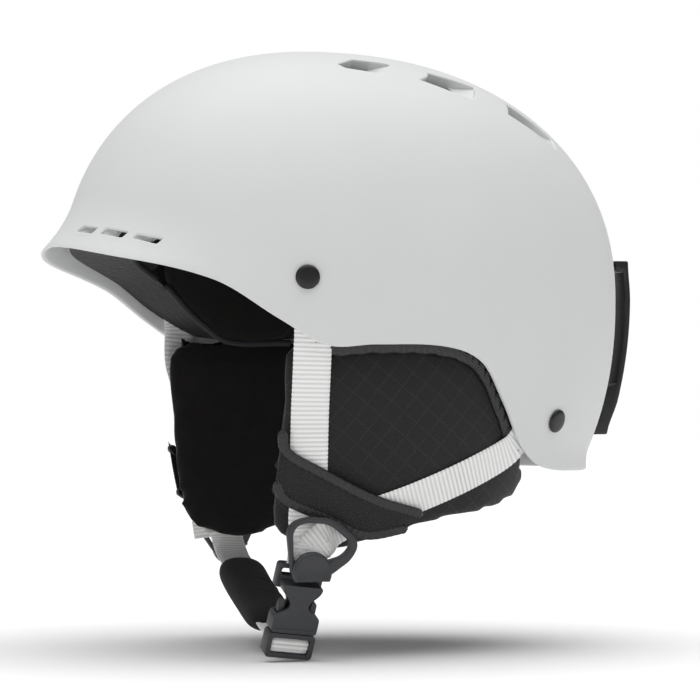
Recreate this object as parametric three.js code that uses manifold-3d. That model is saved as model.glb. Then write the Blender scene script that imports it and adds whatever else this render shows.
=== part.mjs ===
// Ski helmet. Millimetres, +Z up, +X to the wearer's left, -Y to the front.
// The origin is the centre of the head, level with the widest section of the shell.
import * as THREE from "three";
import { mergeVertices } from "three/addons/utils/BufferGeometryUtils.js";
import Module from "manifold-3d";

const wasm = await Module();
wasm.setup();

// Driving dimensions
const gap = 0.4; // between pieces that touch
const layerGap = 1.2; // between the faceted layers of the dome
const dome = {
  halfWidth: 114.6,
  front: 123.6, // from the dome's centre to the forehead
  rear: 156.4,
  crown: 122.3,
  lower: 158.6, // the superquadric's depth below the widest section
  centreY: -16.5,
  planPower: 2.15,
  frontPower: 2.275,
  rearPower: 2.202,
};
const shellThickness = 2.6;
const foamThickness = 26;
const padThickness = 6;
const brim = { reach: 10, rise: 25, from: 108, full: 160 }; // flare, height above the rim, azimuths
const rearLip = { reach: 3.5, rise: 11, from: 62, full: 30 };
const webbing = { width: 18, thickness: 1.5 };
const rivet = { capRadius: 5.7, capHeight: 2.2, shankRadius: 1.9, holeRadius: 2.4 };
const rivetPlaces = {
  front: { azimuth: 109.5, height: 7.5 },
  rear: { azimuth: 41.5, height: -60 },
};
const anchor = { width: 15, height: 13, thickness: 2 };
const frontVents = { azimuths: [167, 157, 147], heights: [31, 29.2, 26], width: 11.5, height: 4.6 };
const topVents = [
  { azimuth: 83, polar: 25.3, width: 17, height: 8, turn: 20 },
  { azimuth: 48, polar: 33.5, width: 24, height: 13, turn: -28 },
  { azimuth: 30.5, polar: 46, width: 22, height: 10, turn: -55 },
];
const earPad = { thickness: 15, pivotY: -10, topZ: -21, centreY: -5, centreZ: -66 };
const strapLift = 1.5; // middle of the webbing over the pad
const band = { lift: 3.2, thickness: 1.3 };
const buckle = { tilt: -6.5, lean: 20, x: 92, y: -52.2, z: -135.6, width: 22.6, thickness: 8.6 };
const clip = {
  halfWidth: 12.5,
  bandThickness: 3.2,
  top: 20.5,
  webUnder: 15.2, // underside of the web that joins the band to its hinge
  blockTop: -44.5,
  bottom: -68,
  shellGap: 0.9,
  axisY: 141.2,
  axisZ: 17.5,
  pinRadius: 1.1,
};

const rad = THREE.MathUtils.degToRad;
const buckleTurn = new THREE.Euler(rad(buckle.tilt), rad(buckle.lean), 0);
const lerp = THREE.MathUtils.lerp;
const smooth = THREE.MathUtils.smoothstep;

// Height of the shell's rim by azimuth: 0 at the back, 90 at the ear, 180 at the forehead.
const rimKnots = [
  [0, -83.4], [30, -83.4], [43, -80.5], [51, -69.5], [58, -50], [65, -31], [75, -23.4],
  [93, -22.4], [105, -22.8], [116, -10.5], [130, 7.5], [152, 18.5], [180, 25],
];
// The foam stops short of the rim, and leaves the ear open.
const foamKnots = [
  [0, -72], [30, -71], [42, -60], [53, -34], [62, -20], [80, -18.6], [103, -17.5],
  [116, -5.5], [130, 10.2], [152, 21], [180, 27],
];

// A smooth curve through [position, value] knots
function through(knots, at) {
  const last = knots.length - 1;
  const slope = (i) => {
    const [a, b] = [knots[Math.max(i - 1, 0)], knots[Math.min(i + 1, last)]];
    return i === 0 || i === last ? 0 : (b[1] - a[1]) / (b[0] - a[0]);
  };
  let i = 0;
  while (i < last - 1 && at > knots[i + 1][0]) i++;
  const [from, to] = [knots[i], knots[i + 1]];
  const span = to[0] - from[0];
  const t = THREE.MathUtils.clamp((at - from[0]) / span, 0, 1);
  const rise = to[1] - from[1];
  const [m0, m1] = [slope(i) * span, slope(i + 1) * span];
  return from[1] + t * (m0 + t * (3 * rise - 2 * m0 - m1 + t * (m0 + m1 - 2 * rise)));
}

const fold = (azimuth) => Math.abs(((azimuth + 540) % 360) - 180); // either side counts the same
const rimHeight = (azimuth) => through(rimKnots, fold(azimuth));
const foamHeight = (azimuth) => through(foamKnots, fold(azimuth));

function domePower(azimuth) {
  const rearShare = (1 + Math.cos(rad(azimuth))) / 2;
  return 2 / lerp(dome.frontPower, dome.rearPower, rearShare);
}

// A point on the dome, moved in from its outer surface by inset
function domePoint(azimuth, polar, inset = 0) {
  const [s, c] = [Math.sin(rad(azimuth)), Math.cos(rad(azimuth))];
  const [up, out] = [Math.cos(rad(polar)), Math.sin(rad(polar))];
  const power = domePower(azimuth);
  const depth = (c > 0 ? dome.rear : dome.front) - inset;
  const wide = Math.abs(s / (dome.halfWidth - inset)) ** dome.planPower;
  const reach = 1 / (wide + Math.abs(c / depth) ** dome.planPower) ** (1 / dome.planPower);
  const radius = Math.abs(out) ** power * reach;
  const high = up > 0 ? dome.crown - inset : dome.lower;
  const z = high * Math.sign(up) * Math.abs(up) ** power;
  return new THREE.Vector3(radius * s, dome.centreY + radius * c, z);
}

// The polar angle at which the dome comes down to a height
function polarAt(azimuth, height, inset = 0) {
  const high = height > 0 ? dome.crown - inset : dome.lower;
  const share = (Math.abs(height) / high) ** (1 / domePower(azimuth));
  const polar = THREE.MathUtils.radToDeg(Math.acos(Math.min(share, 1)));
  return height > 0 ? polar : 180 - polar;
}

function domeNormal(azimuth, polar) {
  const step = 0.2;
  const here = domePoint(azimuth, polar);
  const along = domePoint(azimuth + step, polar).sub(here);
  const down = domePoint(azimuth, polar + step).sub(here);
  return along.cross(down).normalize();
}

// How far the brim and the rear lip stand out from the dome
function flare(azimuth, height) {
  const side = fold(azimuth);
  const above = height - rimHeight(azimuth);
  const front = smooth(side, brim.from, brim.full) * Math.max(0, 1 - above / brim.rise) ** 2;
  const rear = (1 - smooth(side, rearLip.full, rearLip.from)) * Math.max(0, 1 - above / rearLip.rise) ** 2;
  return brim.reach * front + rearLip.reach * rear;
}

// Moves each vertex of a geometry, then turns its faces outwards
function shaped(geometry, move) {
  geometry.deleteAttribute("normal");
  geometry.deleteAttribute("uv");
  const places = geometry.attributes.position;
  const point = new THREE.Vector3();
  for (let i = 0; i < places.count; i++) {
    const moved = move(point.fromBufferAttribute(places, i));
    places.setXYZ(i, moved.x, moved.y, moved.z);
  }
  return outward(mergeVertices(geometry, 1e-3));
}

function outward(geometry) {
  const places = geometry.attributes.position;
  const index = geometry.index.array;
  const [a, b, c] = [new THREE.Vector3(), new THREE.Vector3(), new THREE.Vector3()];
  let volume = 0;
  for (let i = 0; i < index.length; i += 3) {
    a.fromBufferAttribute(places, index[i]);
    b.fromBufferAttribute(places, index[i + 1]);
    c.fromBufferAttribute(places, index[i + 2]);
    volume += a.dot(b.cross(c));
  }
  if (volume < 0) index.reverse();
  return geometry;
}

function solid(geometry) {
  const bare = geometry.index ? geometry.clone() : mergeVertices(geometry, 1e-3);
  bare.deleteAttribute("normal");
  bare.deleteAttribute("uv");
  const merged = mergeVertices(bare, 1e-3);
  return new wasm.Manifold(
    new wasm.Mesh({
      numProp: 3,
      vertProperties: new Float32Array(merged.attributes.position.array),
      triVerts: new Uint32Array(merged.index.array),
    }),
  );
}

function geometryOf(made) {
  const mesh = made.getMesh();
  const geometry = new THREE.BufferGeometry();
  const places = new Float32Array(mesh.numVert * 3);
  for (let i = 0; i < mesh.numVert; i++) {
    places.set(mesh.vertProperties.subarray(i * mesh.numProp, i * mesh.numProp + 3), i * 3);
  }
  geometry.setAttribute("position", new THREE.BufferAttribute(places, 3));
  geometry.setIndex(new THREE.BufferAttribute(mesh.triVerts, 1));
  return geometry;
}

// A round disc with faces above and below, whose vertices can be moved to make a dome or a pad
function disc(segments, rows) {
  const profile = [];
  for (let i = 0; i <= rows; i++) profile.push(new THREE.Vector2(i / rows, 1));
  for (let i = rows; i >= 0; i--) profile.push(new THREE.Vector2(i / rows, 0));
  return new THREE.LatheGeometry(profile, segments);
}

// A layer of the dome between two insets, open below along a rim
function domeLayer(outerInset, innerInset, rim, segments, rows, lip = () => 0) {
  return shaped(disc(segments, rows), (p) => {
    const azimuth = THREE.MathUtils.radToDeg(Math.atan2(p.x, p.z));
    const inset = lerp(innerInset, outerInset, p.y);
    const share = Math.hypot(p.x, p.z) ** 0.9;
    const polar = share * polarAt(azimuth, rim(azimuth), inset);
    const point = domePoint(azimuth, polar, inset);
    const out = new THREE.Vector3(point.x, point.y - dome.centreY, 0);
    if (out.length() > 1) point.addScaledVector(out.normalize(), lip(azimuth, point.z));
    return point;
  });
}

// A piece of a dome layer between two azimuths, from a top height down to a lower edge
function domePatch(azimuths, top, bottom, outerInset, innerInset, columns, rows) {
  return shaped(new THREE.BoxGeometry(1, 1, 1, columns, rows, 1), (p) => {
    const azimuth = lerp(azimuths[0], azimuths[1], p.x + 0.5);
    const inset = lerp(innerInset, outerInset, p.z + 0.5);
    const low = polarAt(azimuth, bottom(azimuth), inset);
    const high = polarAt(azimuth, top, inset);
    return domePoint(azimuth, lerp(low, high, p.y + 0.5), inset);
  });
}

// A flat strip of webbing through stations, each a point and the direction that the strip faces there
function strip(stations, size, steps) {
  const path = new THREE.CatmullRomCurve3(stations.map(([at]) => at), false, "catmullrom");
  const turn = new THREE.CatmullRomCurve3(stations.map(([, facing]) => facing), false, "catmullrom");
  return shaped(new THREE.BoxGeometry(size.width, size.thickness, 1, 1, 1, steps), (p) => {
    const t = p.z + 0.5;
    const across = turn.getPoint(t).cross(path.getTangent(t)).normalize();
    const face = new THREE.Vector3().crossVectors(path.getTangent(t), across);
    return path.getPoint(t).addScaledVector(across, p.x).addScaledVector(face, p.y);
  });
}

// Stands a geometry built around +Z on the dome, pointing out
function onDome(geometry, azimuth, polar, inset = 0, turn = 0) {
  const normal = domeNormal(azimuth, polar);
  const place = domePoint(azimuth, polar).addScaledVector(normal, -inset);
  const stand = new THREE.Quaternion().setFromUnitVectors(new THREE.Vector3(0, 0, 1), normal);
  geometry.rotateZ(rad(turn));
  geometry.applyQuaternion(stand);
  return geometry.translate(place.x, place.y, place.z);
}

function mirrored(geometry) {
  const copy = geometry.clone().scale(-1, 1, 1);
  copy.index.array.reverse();
  return copy;
}

function box(x0, x1, y0, y1, z0, z1) {
  const made = new THREE.BoxGeometry(x1 - x0, y1 - y0, z1 - z0);
  return made.translate((x0 + x1) / 2, (y0 + y1) / 2, (z0 + z1) / 2);
}

function rod(radius, length, sides = 20) {
  return new THREE.CylinderGeometry(radius, radius, length, sides).rotateX(Math.PI / 2);
}

const black = { color: 0x1b1c1e, roughness: 0.55, metalness: 0 };
const blackFabric = { color: 0x18181a, roughness: 0.95, metalness: 0 };
const whiteWebbing = { color: 0xf2f2f2, roughness: 0.85, metalness: 0 };
const whiteShell = { color: 0xe9eaea, roughness: 0.6, metalness: 0 };
const blackFoam = { color: 0x141414, roughness: 0.9, metalness: 0 };

const helmet = new THREE.Group();
function add(name, geometry, finish, into = helmet) {
  const mesh = new THREE.Mesh(geometry, new THREE.MeshStandardMaterial(finish));
  mesh.name = name;
  into.add(mesh);
  return mesh;
}

// The soft parts hang a little differently on the two sides: the buckle's weight pulls the left ones
// forward, and the chin pad turns the right slider back.
const sides = [
  { name: "left", sign: 1, swing: 0, exitZ: -106.8 },
  { name: "right", sign: -1, swing: 2.6, exitZ: -112 },
];
Object.assign(sides[0], {
  sliderX: 93.2, sliderY: -44, sliderZ: -107, sliderTurn: 0, strapAhead: 3.4, strapY: -51,
});
Object.assign(sides[1], {
  sliderX: 96.3, sliderY: -33, sliderZ: -104.5, sliderTurn: 30, strapAhead: 7, strapY: -44.5,
});
const onSide = (side, geometry) => (side.sign > 0 ? geometry : mirrored(geometry));

// The outer face of an ear pad leans in towards the jaw and rounds off to the front and back.
const padTurn = { from: 35, rate: 0.0055 }; // behind this the pad turns in under the shell's lobe
function padFace(y, z) {
  const behind = Math.max(0, y - padTurn.from);
  return 106 - 0.0024 * (y + 10) ** 2 - 0.0024 * (z + 20) ** 2 - padTurn.rate * behind ** 2;
}

// Stations for a strap: under the shell, on an ear pad, or flat behind the slider
function underShell(azimuth, height) {
  const polar = polarAt(azimuth, height);
  return [domePoint(azimuth, polar, shellThickness + gap + 1.1), domeNormal(azimuth, polar)];
}
function onPad(y, z, lift = strapLift) {
  const inwards = 2 * padTurn.rate * Math.max(0, y - padTurn.from);
  const facing = new THREE.Vector3(1, 0.0048 * (y + 10) + inwards, 0.0048 * (z + 20)).normalize();
  return [new THREE.Vector3(padFace(y, z) + lift, y, z), facing];
}
const flat = (x, y, z) => [new THREE.Vector3(x, y, z), new THREE.Vector3(1, 0, 0)];

function frontStrap(side) {
  const [x, y, z] = [side.sliderX, side.sliderY - side.strapAhead, side.sliderZ];
  const stations = [
    underShell(109.3, -1.5),
    underShell(108.2, -13),
    onPad(-51.5, -32, strapLift + 2.2),
    onPad(side.strapY, -55),
    onPad(side.strapY + 1, -76),
    onPad(lerp(side.strapY + 1, y, 0.7), side.exitZ + 10),
    onPad(y, side.exitZ),
    flat(x - 3.4, y, z - 7),
    flat(x - 2.2, y + 1, z - 10.2),
  ];
  return strip(stations, webbing, 24);
}
function rearStrap(side) {
  const z = side.sliderZ;
  const stations = [
    underShell(45.5, -63),
    underShell(48.5, -66),
    onPad(53, -75, strapLift),
    onPad(30, -86),
    onPad(4, -96.5 + (z + 107) * 0.3),
    onPad(side.sliderY + 20, -105 + (z + 107) * 0.3),
  ];
  return strip(stations, { width: 16.5, thickness: webbing.thickness }, 22);
}

// Shell and foam
function ventPlugs() {
  const plugs = [];
  for (const sign of [1, -1]) {
    frontVents.azimuths.forEach((azimuth, i) => {
      const polar = polarAt(azimuth, frontVents.heights[i]);
      const plug = new THREE.BoxGeometry(frontVents.width, frontVents.height, 90);
      plug.rotateX(Math.PI / 2).rotateZ(rad(180 - azimuth));
      const at = domePoint(azimuth, polar);
      plug.translate(at.x, at.y, at.z);
      plugs.push(solid(sign > 0 ? plug : mirrored(plug)));
    });
    for (const v of topVents) {
      const plug = onDome(new THREE.BoxGeometry(v.width, v.height, 90), v.azimuth, v.polar, 10, v.turn);
      plugs.push(solid(sign > 0 ? plug : mirrored(plug)));
    }
  }
  return plugs;
}

function rivetAxis(place, geometry, inset) {
  return onDome(geometry, place.azimuth, polarAt(place.azimuth, place.height), inset);
}

const clipSlot = { halfWidth: 9, low: -66, high: -57 };
const baseSlot = { halfWidth: 11, low: 12.9, high: 22.1 };

function makeShell() {
  let made = solid(domeLayer(0, shellThickness, rimHeight, 64, 11, flare));
  for (const plug of ventPlugs()) made = made.subtract(plug);
  for (const side of sides) {
    for (const place of Object.values(rivetPlaces)) {
      made = made.subtract(solid(onSide(side, rivetAxis(place, rod(rivet.holeRadius, 12), 0))));
    }
  }
  const hookSlot = box(-clipSlot.halfWidth, clipSlot.halfWidth, 115, 150, clipSlot.low, clipSlot.high);
  const hingeSlot = box(-baseSlot.halfWidth, baseSlot.halfWidth, 125, 150, baseSlot.low, baseSlot.high);
  return geometryOf(made.subtract(solid(hookSlot)).subtract(solid(hingeSlot)));
}

function makeFoam() {
  const outer = shellThickness + layerGap;
  let made = solid(domeLayer(outer, outer + foamThickness, foamHeight, 48, 9));
  for (const plug of ventPlugs()) made = made.subtract(plug);
  for (const side of sides) {
    for (const place of Object.values(rivetPlaces)) {
      const pocket = new THREE.BoxGeometry(anchor.width + 3, anchor.height + 3, 8);
      made = made.subtract(solid(onSide(side, rivetAxis(place, pocket, 5.2))));
    }
    const size = { width: webbing.width + 2.5, thickness: 7 };
    const groove = strip([underShell(109.6, 6), underShell(108.7, -8), underShell(107.6, -24)], size, 6);
    const rearGroove = strip([underShell(41, -59), underShell(46, -64), underShell(56, -72)], size, 6);
    made = made.subtract(solid(onSide(side, groove))).subtract(solid(onSide(side, rearGroove)));
  }
  made = made.subtract(solid(box(-11, 11, 112, 140, -70, -52)));
  return geometryOf(made.subtract(solid(box(-13, 13, 132, 140, 10, 25))));
}

// Comfort liner
function addComfortPads() {
  const outer = shellThickness + foamThickness + 2 * layerGap;
  const inner = outer + padThickness;
  const edge = (drop) => (azimuth) => foamHeight(azimuth) - drop;
  add("brow_pad", domePatch([134, 226], 62, edge(2.5), outer, inner, 14, 4), blackFabric);
  for (const side of sides) {
    const pad = domePatch([76, 131], 52, edge(2.5), outer, inner, 10, 5);
    add("side_pad_" + side.name, onSide(side, pad), blackFabric);
  }
  add("rear_pad", domePatch([-62, 62], 50, () => -8, outer, inner, 18, 4), blackFabric);
  add("crown_pad", domeLayer(outer, inner, () => 70, 28, 3), blackFabric);
  const nape = inner + 1;
  add("fit_band", domePatch([-46, 46], -26, () => -50, nape, nape + 2, 16, 2), black);
  for (const side of sides) {
    const elastic = domePatch([47, 62], -30, () => -44, nape, nape + 1.5, 4, 1);
    add("fit_elastic_" + side.name, onSide(side, elastic), blackFabric);
  }
}

// Ear pads
const padOutline = [
  [-59, -25], [-61.5, -55], [-63, -90], [-61, -109], [-50, -116], [-31, -121.5], [-11, -116.5],
  [26, -107], [52, -102], [67, -92], [68, -81], [59, -60], [48, -38], [37, -26], [18, -23], [-12, -22.5],
  [-40, -23],
];

// Swings a point of the pad's side view about the middle of its top edge
function swung(y, z, side) {
  const [s, c] = [Math.sin(rad(side.swing)), Math.cos(rad(side.swing))];
  const [dy, dz] = [y - earPad.pivotY, z - earPad.topZ];
  const low = Math.min(1, Math.abs(dz) / 40); // the top edge stays tucked in
  return [y + low * (dy * c - dz * s - dy), z + low * (dy * s + dz * c - dz)];
}

function makeEarPad(side) {
  const corners = padOutline.map(([y, z]) => new THREE.Vector2(...swung(y, z, side)));
  const outline = new THREE.CatmullRomCurve3(
    corners.map((p) => new THREE.Vector3(0, p.x, p.y)),
    true,
    "centripetal",
  );
  const made = shaped(disc(36, 5), (p) => {
    const share = (Math.atan2(p.x, p.z) / (2 * Math.PI) + 1) % 1;
    const edge = outline.getPointAt(share);
    const r = Math.hypot(p.x, p.z);
    const y = lerp(earPad.centreY, edge.y, r);
    const z = lerp(earPad.centreZ, edge.z, r);
    const plump = 1 - 0.45 * r ** 5;
    const inner = padFace(y, z) - earPad.thickness * (0.5 + 0.5 * plump);
    return new THREE.Vector3(lerp(inner, padFace(y, z), p.y), y, z);
  });
  return onSide(side, made);
}

const bandTop = [[-64.0, -61.3], [-61.0, -72.0], [-43.0, -82.5], [-17.0, -95.0], [9.0, -103.5]];
const bandBottom = [[-65.0, -90.0], [-59.0, -98.6], [-40.0, -107.0], [-20.0, -115.0], [1.0, -111.1]];
function makeBand(side) {
  const edge = (points) =>
    new THREE.CatmullRomCurve3(points.map(([y, z]) => new THREE.Vector3(0, ...swung(y, z, side))));
  const [top, bottom] = [edge(bandTop), edge(bandBottom)];
  const made = shaped(new THREE.BoxGeometry(1, 1, 1, 12, 3, 1), (p) => {
    const at = new THREE.Vector3().lerpVectors(
      bottom.getPoint(p.x + 0.5),
      top.getPoint(p.x + 0.5),
      p.y + 0.5,
    );
    return onPad(at.y, at.z, band.lift + band.thickness * (p.z + 0.5))[0];
  });
  return onSide(side, made);
}

// Straps, rivets and sliders
function addRivets(side) {
  for (const [name, place] of Object.entries(rivetPlaces)) {
    const cap = [
      new THREE.Vector2(0, rivet.capHeight),
      new THREE.Vector2(3.4, rivet.capHeight - 0.25),
      new THREE.Vector2(rivet.capRadius - 0.5, rivet.capHeight - 0.9),
      new THREE.Vector2(rivet.capRadius, 0.7),
      new THREE.Vector2(rivet.capRadius, 0.45),
      new THREE.Vector2(rivet.shankRadius, 0.45),
      new THREE.Vector2(rivet.shankRadius, -5.8),
      new THREE.Vector2(0, -5.8),
    ].reverse();
    const made = shaped(new THREE.LatheGeometry(cap, 24).rotateX(Math.PI / 2), (p) => p);
    add(`rivet_${name}_${side.name}`, onSide(side, rivetAxis(place, made, 0)), black);
    const plate = solid(new THREE.BoxGeometry(anchor.width, anchor.height, anchor.thickness));
    const bored = geometryOf(plate.subtract(solid(rod(rivet.holeRadius, 10))));
    const placed = rivetAxis(place, bored, shellThickness + gap + anchor.thickness / 2 + 0.6);
    add(`strap_anchor_${name}_${side.name}`, onSide(side, placed), black);
  }
}

// A polygon with every corner rounded
function rounded(corners, radius, Kind = THREE.Shape) {
  const shape = new Kind();
  const points = corners.map(([x, y]) => new THREE.Vector2(x, y));
  if (THREE.ShapeUtils.area(points) < 0) points.reverse();
  points.forEach((corner, i) => {
    const before = points.at(i - 1);
    const after = points[(i + 1) % points.length];
    const start = corner.clone().add(before.clone().sub(corner).setLength(radius));
    const end = corner.clone().add(after.clone().sub(corner).setLength(radius));
    if (i === 0) shape.moveTo(start.x, start.y);
    else shape.lineTo(start.x, start.y);
    shape.quadraticCurveTo(corner.x, corner.y, end.x, end.y);
  });
  shape.closePath();
  return shape;
}

// Extrudes a side view, drawn in y and z, along x
function sideView(shape, x0, x1, curveSegments = 4) {
  const made = new THREE.ExtrudeGeometry(shape, { depth: x1 - x0, bevelEnabled: false, curveSegments });
  return shaped(made, (p) => p.set(p.z + x0, p.x, p.y));
}

function addSlider(side) {
  const holder = new THREE.Group();
  holder.position.set(0, side.sliderY, side.sliderZ);
  holder.rotation.x = rad(side.sliderTurn);
  holder.scale.x = side.sign;
  helmet.add(holder);
  const outer = [[-17, -1.5], [-9, 3], [6, 2], [19.5, -8.5], [16.5, -17], [0.5, -28], [-14.5, -26.5]];
  const inner = [[-13.6, -3.2], [-8, 0], [4.6, -1], [15.4, -9.5], [11, -15.5], [0, -18.5], [-13.4, -18.5]];
  const frame = rounded(outer, 4);
  frame.holes.push(rounded(inner, 2.2, THREE.Path));
  add("strap_divider_" + side.name, sideView(frame, side.sliderX, side.sliderX + 3.2), black, holder);
  const button = new THREE.CylinderGeometry(9.3, 9.75, 2.8, 32).rotateZ(-Math.PI / 2);
  button.translate(side.sliderX + 3.2 + gap + 1.4, -5, -23.2);
  const flatFoot = box(80, 110, -20, 10, -40, -27.6); // clears the top of the buckle
  const cut = geometryOf(solid(button).subtract(solid(flatFoot)));
  add("divider_disc_" + side.name, cut, black, holder);
}

// Side-release buckle, built around the middle of its female half's top edge, +Z along the strap
function turned(geometry) {
  geometry.applyMatrix4(new THREE.Matrix4().makeRotationFromEuler(buckleTurn));
  return geometry.translate(buckle.x, buckle.y, buckle.z);
}

function makeFemale() {
  const half = buckle.width / 2;
  const face = [
    [-half + 1.2, 0], [half - 1.2, 0], [half - 2, -3.5], [4.6, -8.5], [4.6, -11.5], [half, -15.6],
    [half, -24], [-half, -24], [-half, -15.6], [-4.6, -11.5], [-4.6, -8.5], [-half + 2, -3.5],
  ];
  const body = solid(sideView(rounded(face, 1.4), -buckle.thickness / 2, buckle.thickness / 2, 3));
  const cavity = solid(box(-2.5, 2.5, -9.9, 9.9, -30, -4.2));
  const top = [[-11.6, -4.5], [11.6, -4.5], [11.6, 7.6], [-11.6, 7.6]]; // stands behind the face
  const slot = [[-9.4, 2], [9.4, 2], [9.4, 5.2], [-9.4, 5.2]];
  const loop = rounded(top, 1.6);
  loop.holes.push(rounded(slot, 1, THREE.Path));
  return geometryOf(body.subtract(cavity).add(solid(sideView(loop, -8.4, -3.9, 3))));
}

function makeMale() {
  const outer = [[-11.6, -24.5], [11.6, -24.5], [11.6, -36.8], [-11.6, -36.8]];
  const window = [[-9.5, -26.8], [9.5, -26.8], [9.5, -34.6], [-9.5, -34.6]];
  const frame = rounded(outer, 1.6);
  frame.holes.push(rounded(window, 1, THREE.Path));
  const base = solid(sideView(frame, -4.1, 4.1, 3));
  const tongue = rounded([[-2.4, -6], [2.4, -6], [2.4, -25.5], [-2.4, -25.5]], 1);
  const prong = solid(sideView(tongue, -1.9, 1.9, 3));
  const frontPocket = solid(box(-2.2, 2.2, -10.4, -5.2, -26.3, -20)); // where the arms' roots sit
  const rearPocket = solid(box(-2.2, 2.2, 5.2, 10.4, -26.3, -20));
  return geometryOf(base.add(prong).subtract(frontPocket).subtract(rearPocket));
}

function makeArm(sign) {
  const outline = [[6, -26], [9.4, -26], [8.6, -20], [9.4, -15], [9.4, -9.5], [7.2, -7.6], [6, -12]];
  const shape = rounded(outline.map(([y, z]) => [sign * y, z]), 0.7);
  return sideView(shape, -1.8, 1.8, 3);
}

function addBuckle() {
  add("buckle_female", turned(makeFemale()), black);
  add("buckle_male", turned(makeMale()), black);
  add("buckle_arm_front", turned(makeArm(-1)), black);
  add("buckle_arm_rear", turned(makeArm(1)), black);
}

// A point in the buckle's own coordinates
function atBuckle(x, y, z) {
  const place = new THREE.Vector3(buckle.x, buckle.y, buckle.z);
  return new THREE.Vector3(x, y, z).applyEuler(buckleTurn).add(place);
}

function addChinStrap() {
  const upwards = atBuckle(0, 0, -1).sub(atBuckle(0, 0, 0)); // along the strap, out of the male half
  const short = [flat(90.8, -49.9, -121.4), flat(90.4, -50.2, -123.2), flat(90, -50.5, -125.8)];
  add("chin_strap_left", strip(short, { width: 17.5, thickness: 1.6 }, 8), whiteWebbing);
  const long = [
    [new THREE.Vector3(-94.8, -30.5, -115), new THREE.Vector3(-1, 0, 0)],
    [new THREE.Vector3(-91.5, -30, -123), new THREE.Vector3(-0.9, 0, -0.5)],
    [new THREE.Vector3(-80, -31, -130.4), new THREE.Vector3(-0.45, 0, -0.9)],
    [new THREE.Vector3(-66, -32.5, -134.6), new THREE.Vector3(-0.3, 0, -1)],
    [new THREE.Vector3(-38, -36, -143.8), new THREE.Vector3(-0.3, 0, -1)],
    [new THREE.Vector3(0, -41, -152.5), new THREE.Vector3(-0.2, 0, -1)],
    [new THREE.Vector3(36, -47, -158.5), new THREE.Vector3(-0.15, 0, -1)],
    [new THREE.Vector3(58, -52.5, -160), new THREE.Vector3(-0.1, -0.1, -1)],
    [atBuckle(-6, 0, -31), upwards],
    [atBuckle(1, 0, -30.8), upwards],
  ];
  add("chin_strap_right", strip(long, { width: 17.5, thickness: 1.6 }, 36), whiteWebbing);
  const sleeve = new THREE.CatmullRomCurve3(long.slice(3, 7).map(([at]) => at), false, "catmullrom");
  const across = new THREE.Vector3(0, 1, 0);
  const padded = shaped(new THREE.CylinderGeometry(1, 1, 1, 18, 14), (p) => {
    const t = p.y + 0.5;
    const face = new THREE.Vector3().crossVectors(sleeve.getTangent(t), across).normalize();
    const ends = 1 - 0.25 * Math.abs(2 * t - 1) ** 6;
    return sleeve
      .getPoint(t)
      .addScaledVector(across, p.x * 12.2 * ends)
      .addScaledVector(face, p.z * 6.2 * ends);
  });
  const tunnel = solid(strip(long.slice(2, 8), { width: 19, thickness: 3.2 }, 20));
  add("chin_pad", geometryOf(solid(padded).subtract(tunnel)), blackFabric);
}

// Goggle clip
function clipFace(z) {
  return through([[-70, 139.8], [-50, 146.3], [-25, 151.2], [0, 153], [21, 151.8]], z);
}
function shellBack(z) {
  return domePoint(0, polarAt(0, z)).y;
}

function addClip() {
  const steps = 10;
  const outside = [];
  for (let i = 0; i <= steps; i++) {
    const z = lerp(clip.top, clip.bottom, i / steps);
    outside.push([clipFace(z), z]);
  }
  const againstShell = [clip.bottom, -56, clip.blockTop].map((z) => [shellBack(z) + clip.shellGap, z]);
  const inside = [];
  for (let i = 0; i <= 5; i++) {
    const z = lerp(clip.blockTop + 2.5, clip.webUnder, i / 5);
    inside.push([clipFace(z) - clip.bandThickness, z]);
  }
  const web = [[clip.axisY + 3.4, clip.webUnder], [clip.axisY + 3.4, clip.top]];
  const corners = [...outside, ...againstShell, ...inside, ...web];
  const profile = new THREE.Shape(corners.map(([y, z]) => new THREE.Vector2(y, z)));
  let made = solid(sideView(profile, -clip.halfWidth, clip.halfWidth));
  const tongue = box(-6.6, 6.6, clip.axisY, clip.axisY + 5, 15.6, 19.4);
  const hook = box(-8, 8, 121, shellBack(-62) + 3, -64, -60);
  const barrel = rod(2.4, 13.2).rotateY(Math.PI / 2).translate(0, clip.axisY, clip.axisZ);
  const bore = rod(clip.pinRadius + 0.3, 24, 16).rotateY(Math.PI / 2).translate(0, clip.axisY, clip.axisZ);
  made = made.add(solid(tongue)).add(solid(barrel)).add(solid(hook)).subtract(solid(bore));
  add("goggle_clip", geometryOf(made), black);

  const [inY, outY] = [134.6, 137.9];
  let base = solid(box(-10.5, 10.5, inY, outY, baseSlot.low + gap, baseSlot.high - gap));
  for (const sign of [1, -1]) {
    const lug = rod(2.6, 3).rotateY(Math.PI / 2).translate(sign * 8.9, clip.axisY, clip.axisZ);
    const [near, far] = [Math.min(sign * 7.4, sign * 10.4), Math.max(sign * 7.4, sign * 10.4)];
    const leg = box(near, far, outY - 0.5, clip.axisY, clip.axisZ - 2.5, clip.axisZ + 2.5);
    base = base.add(solid(lug)).add(solid(leg));
  }
  add("goggle_clip_base", geometryOf(base.subtract(solid(bore))), black);
  const pin = rod(clip.pinRadius, 20.4, 14).rotateY(Math.PI / 2).translate(0, clip.axisY, clip.axisZ);
  add("goggle_clip_pin", pin, { color: 0x9a9a9a, roughness: 0.35, metalness: 0.9 });
}

// Assembly
add("shell", makeShell(), whiteShell);
add("eps_liner", makeFoam(), blackFoam);
addComfortPads();
for (const side of sides) {
  add("ear_pad_" + side.name, makeEarPad(side), blackFabric);
  add("ear_band_" + side.name, makeBand(side), blackFabric);
  add("front_strap_" + side.name, onSide(side, frontStrap(side)), whiteWebbing);
  add("rear_strap_" + side.name, onSide(side, rearStrap(side)), whiteWebbing);
  addRivets(side);
  addSlider(side);
}
addBuckle();
addChinStrap();
addClip();

export default helmet;
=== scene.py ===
import math

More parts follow.
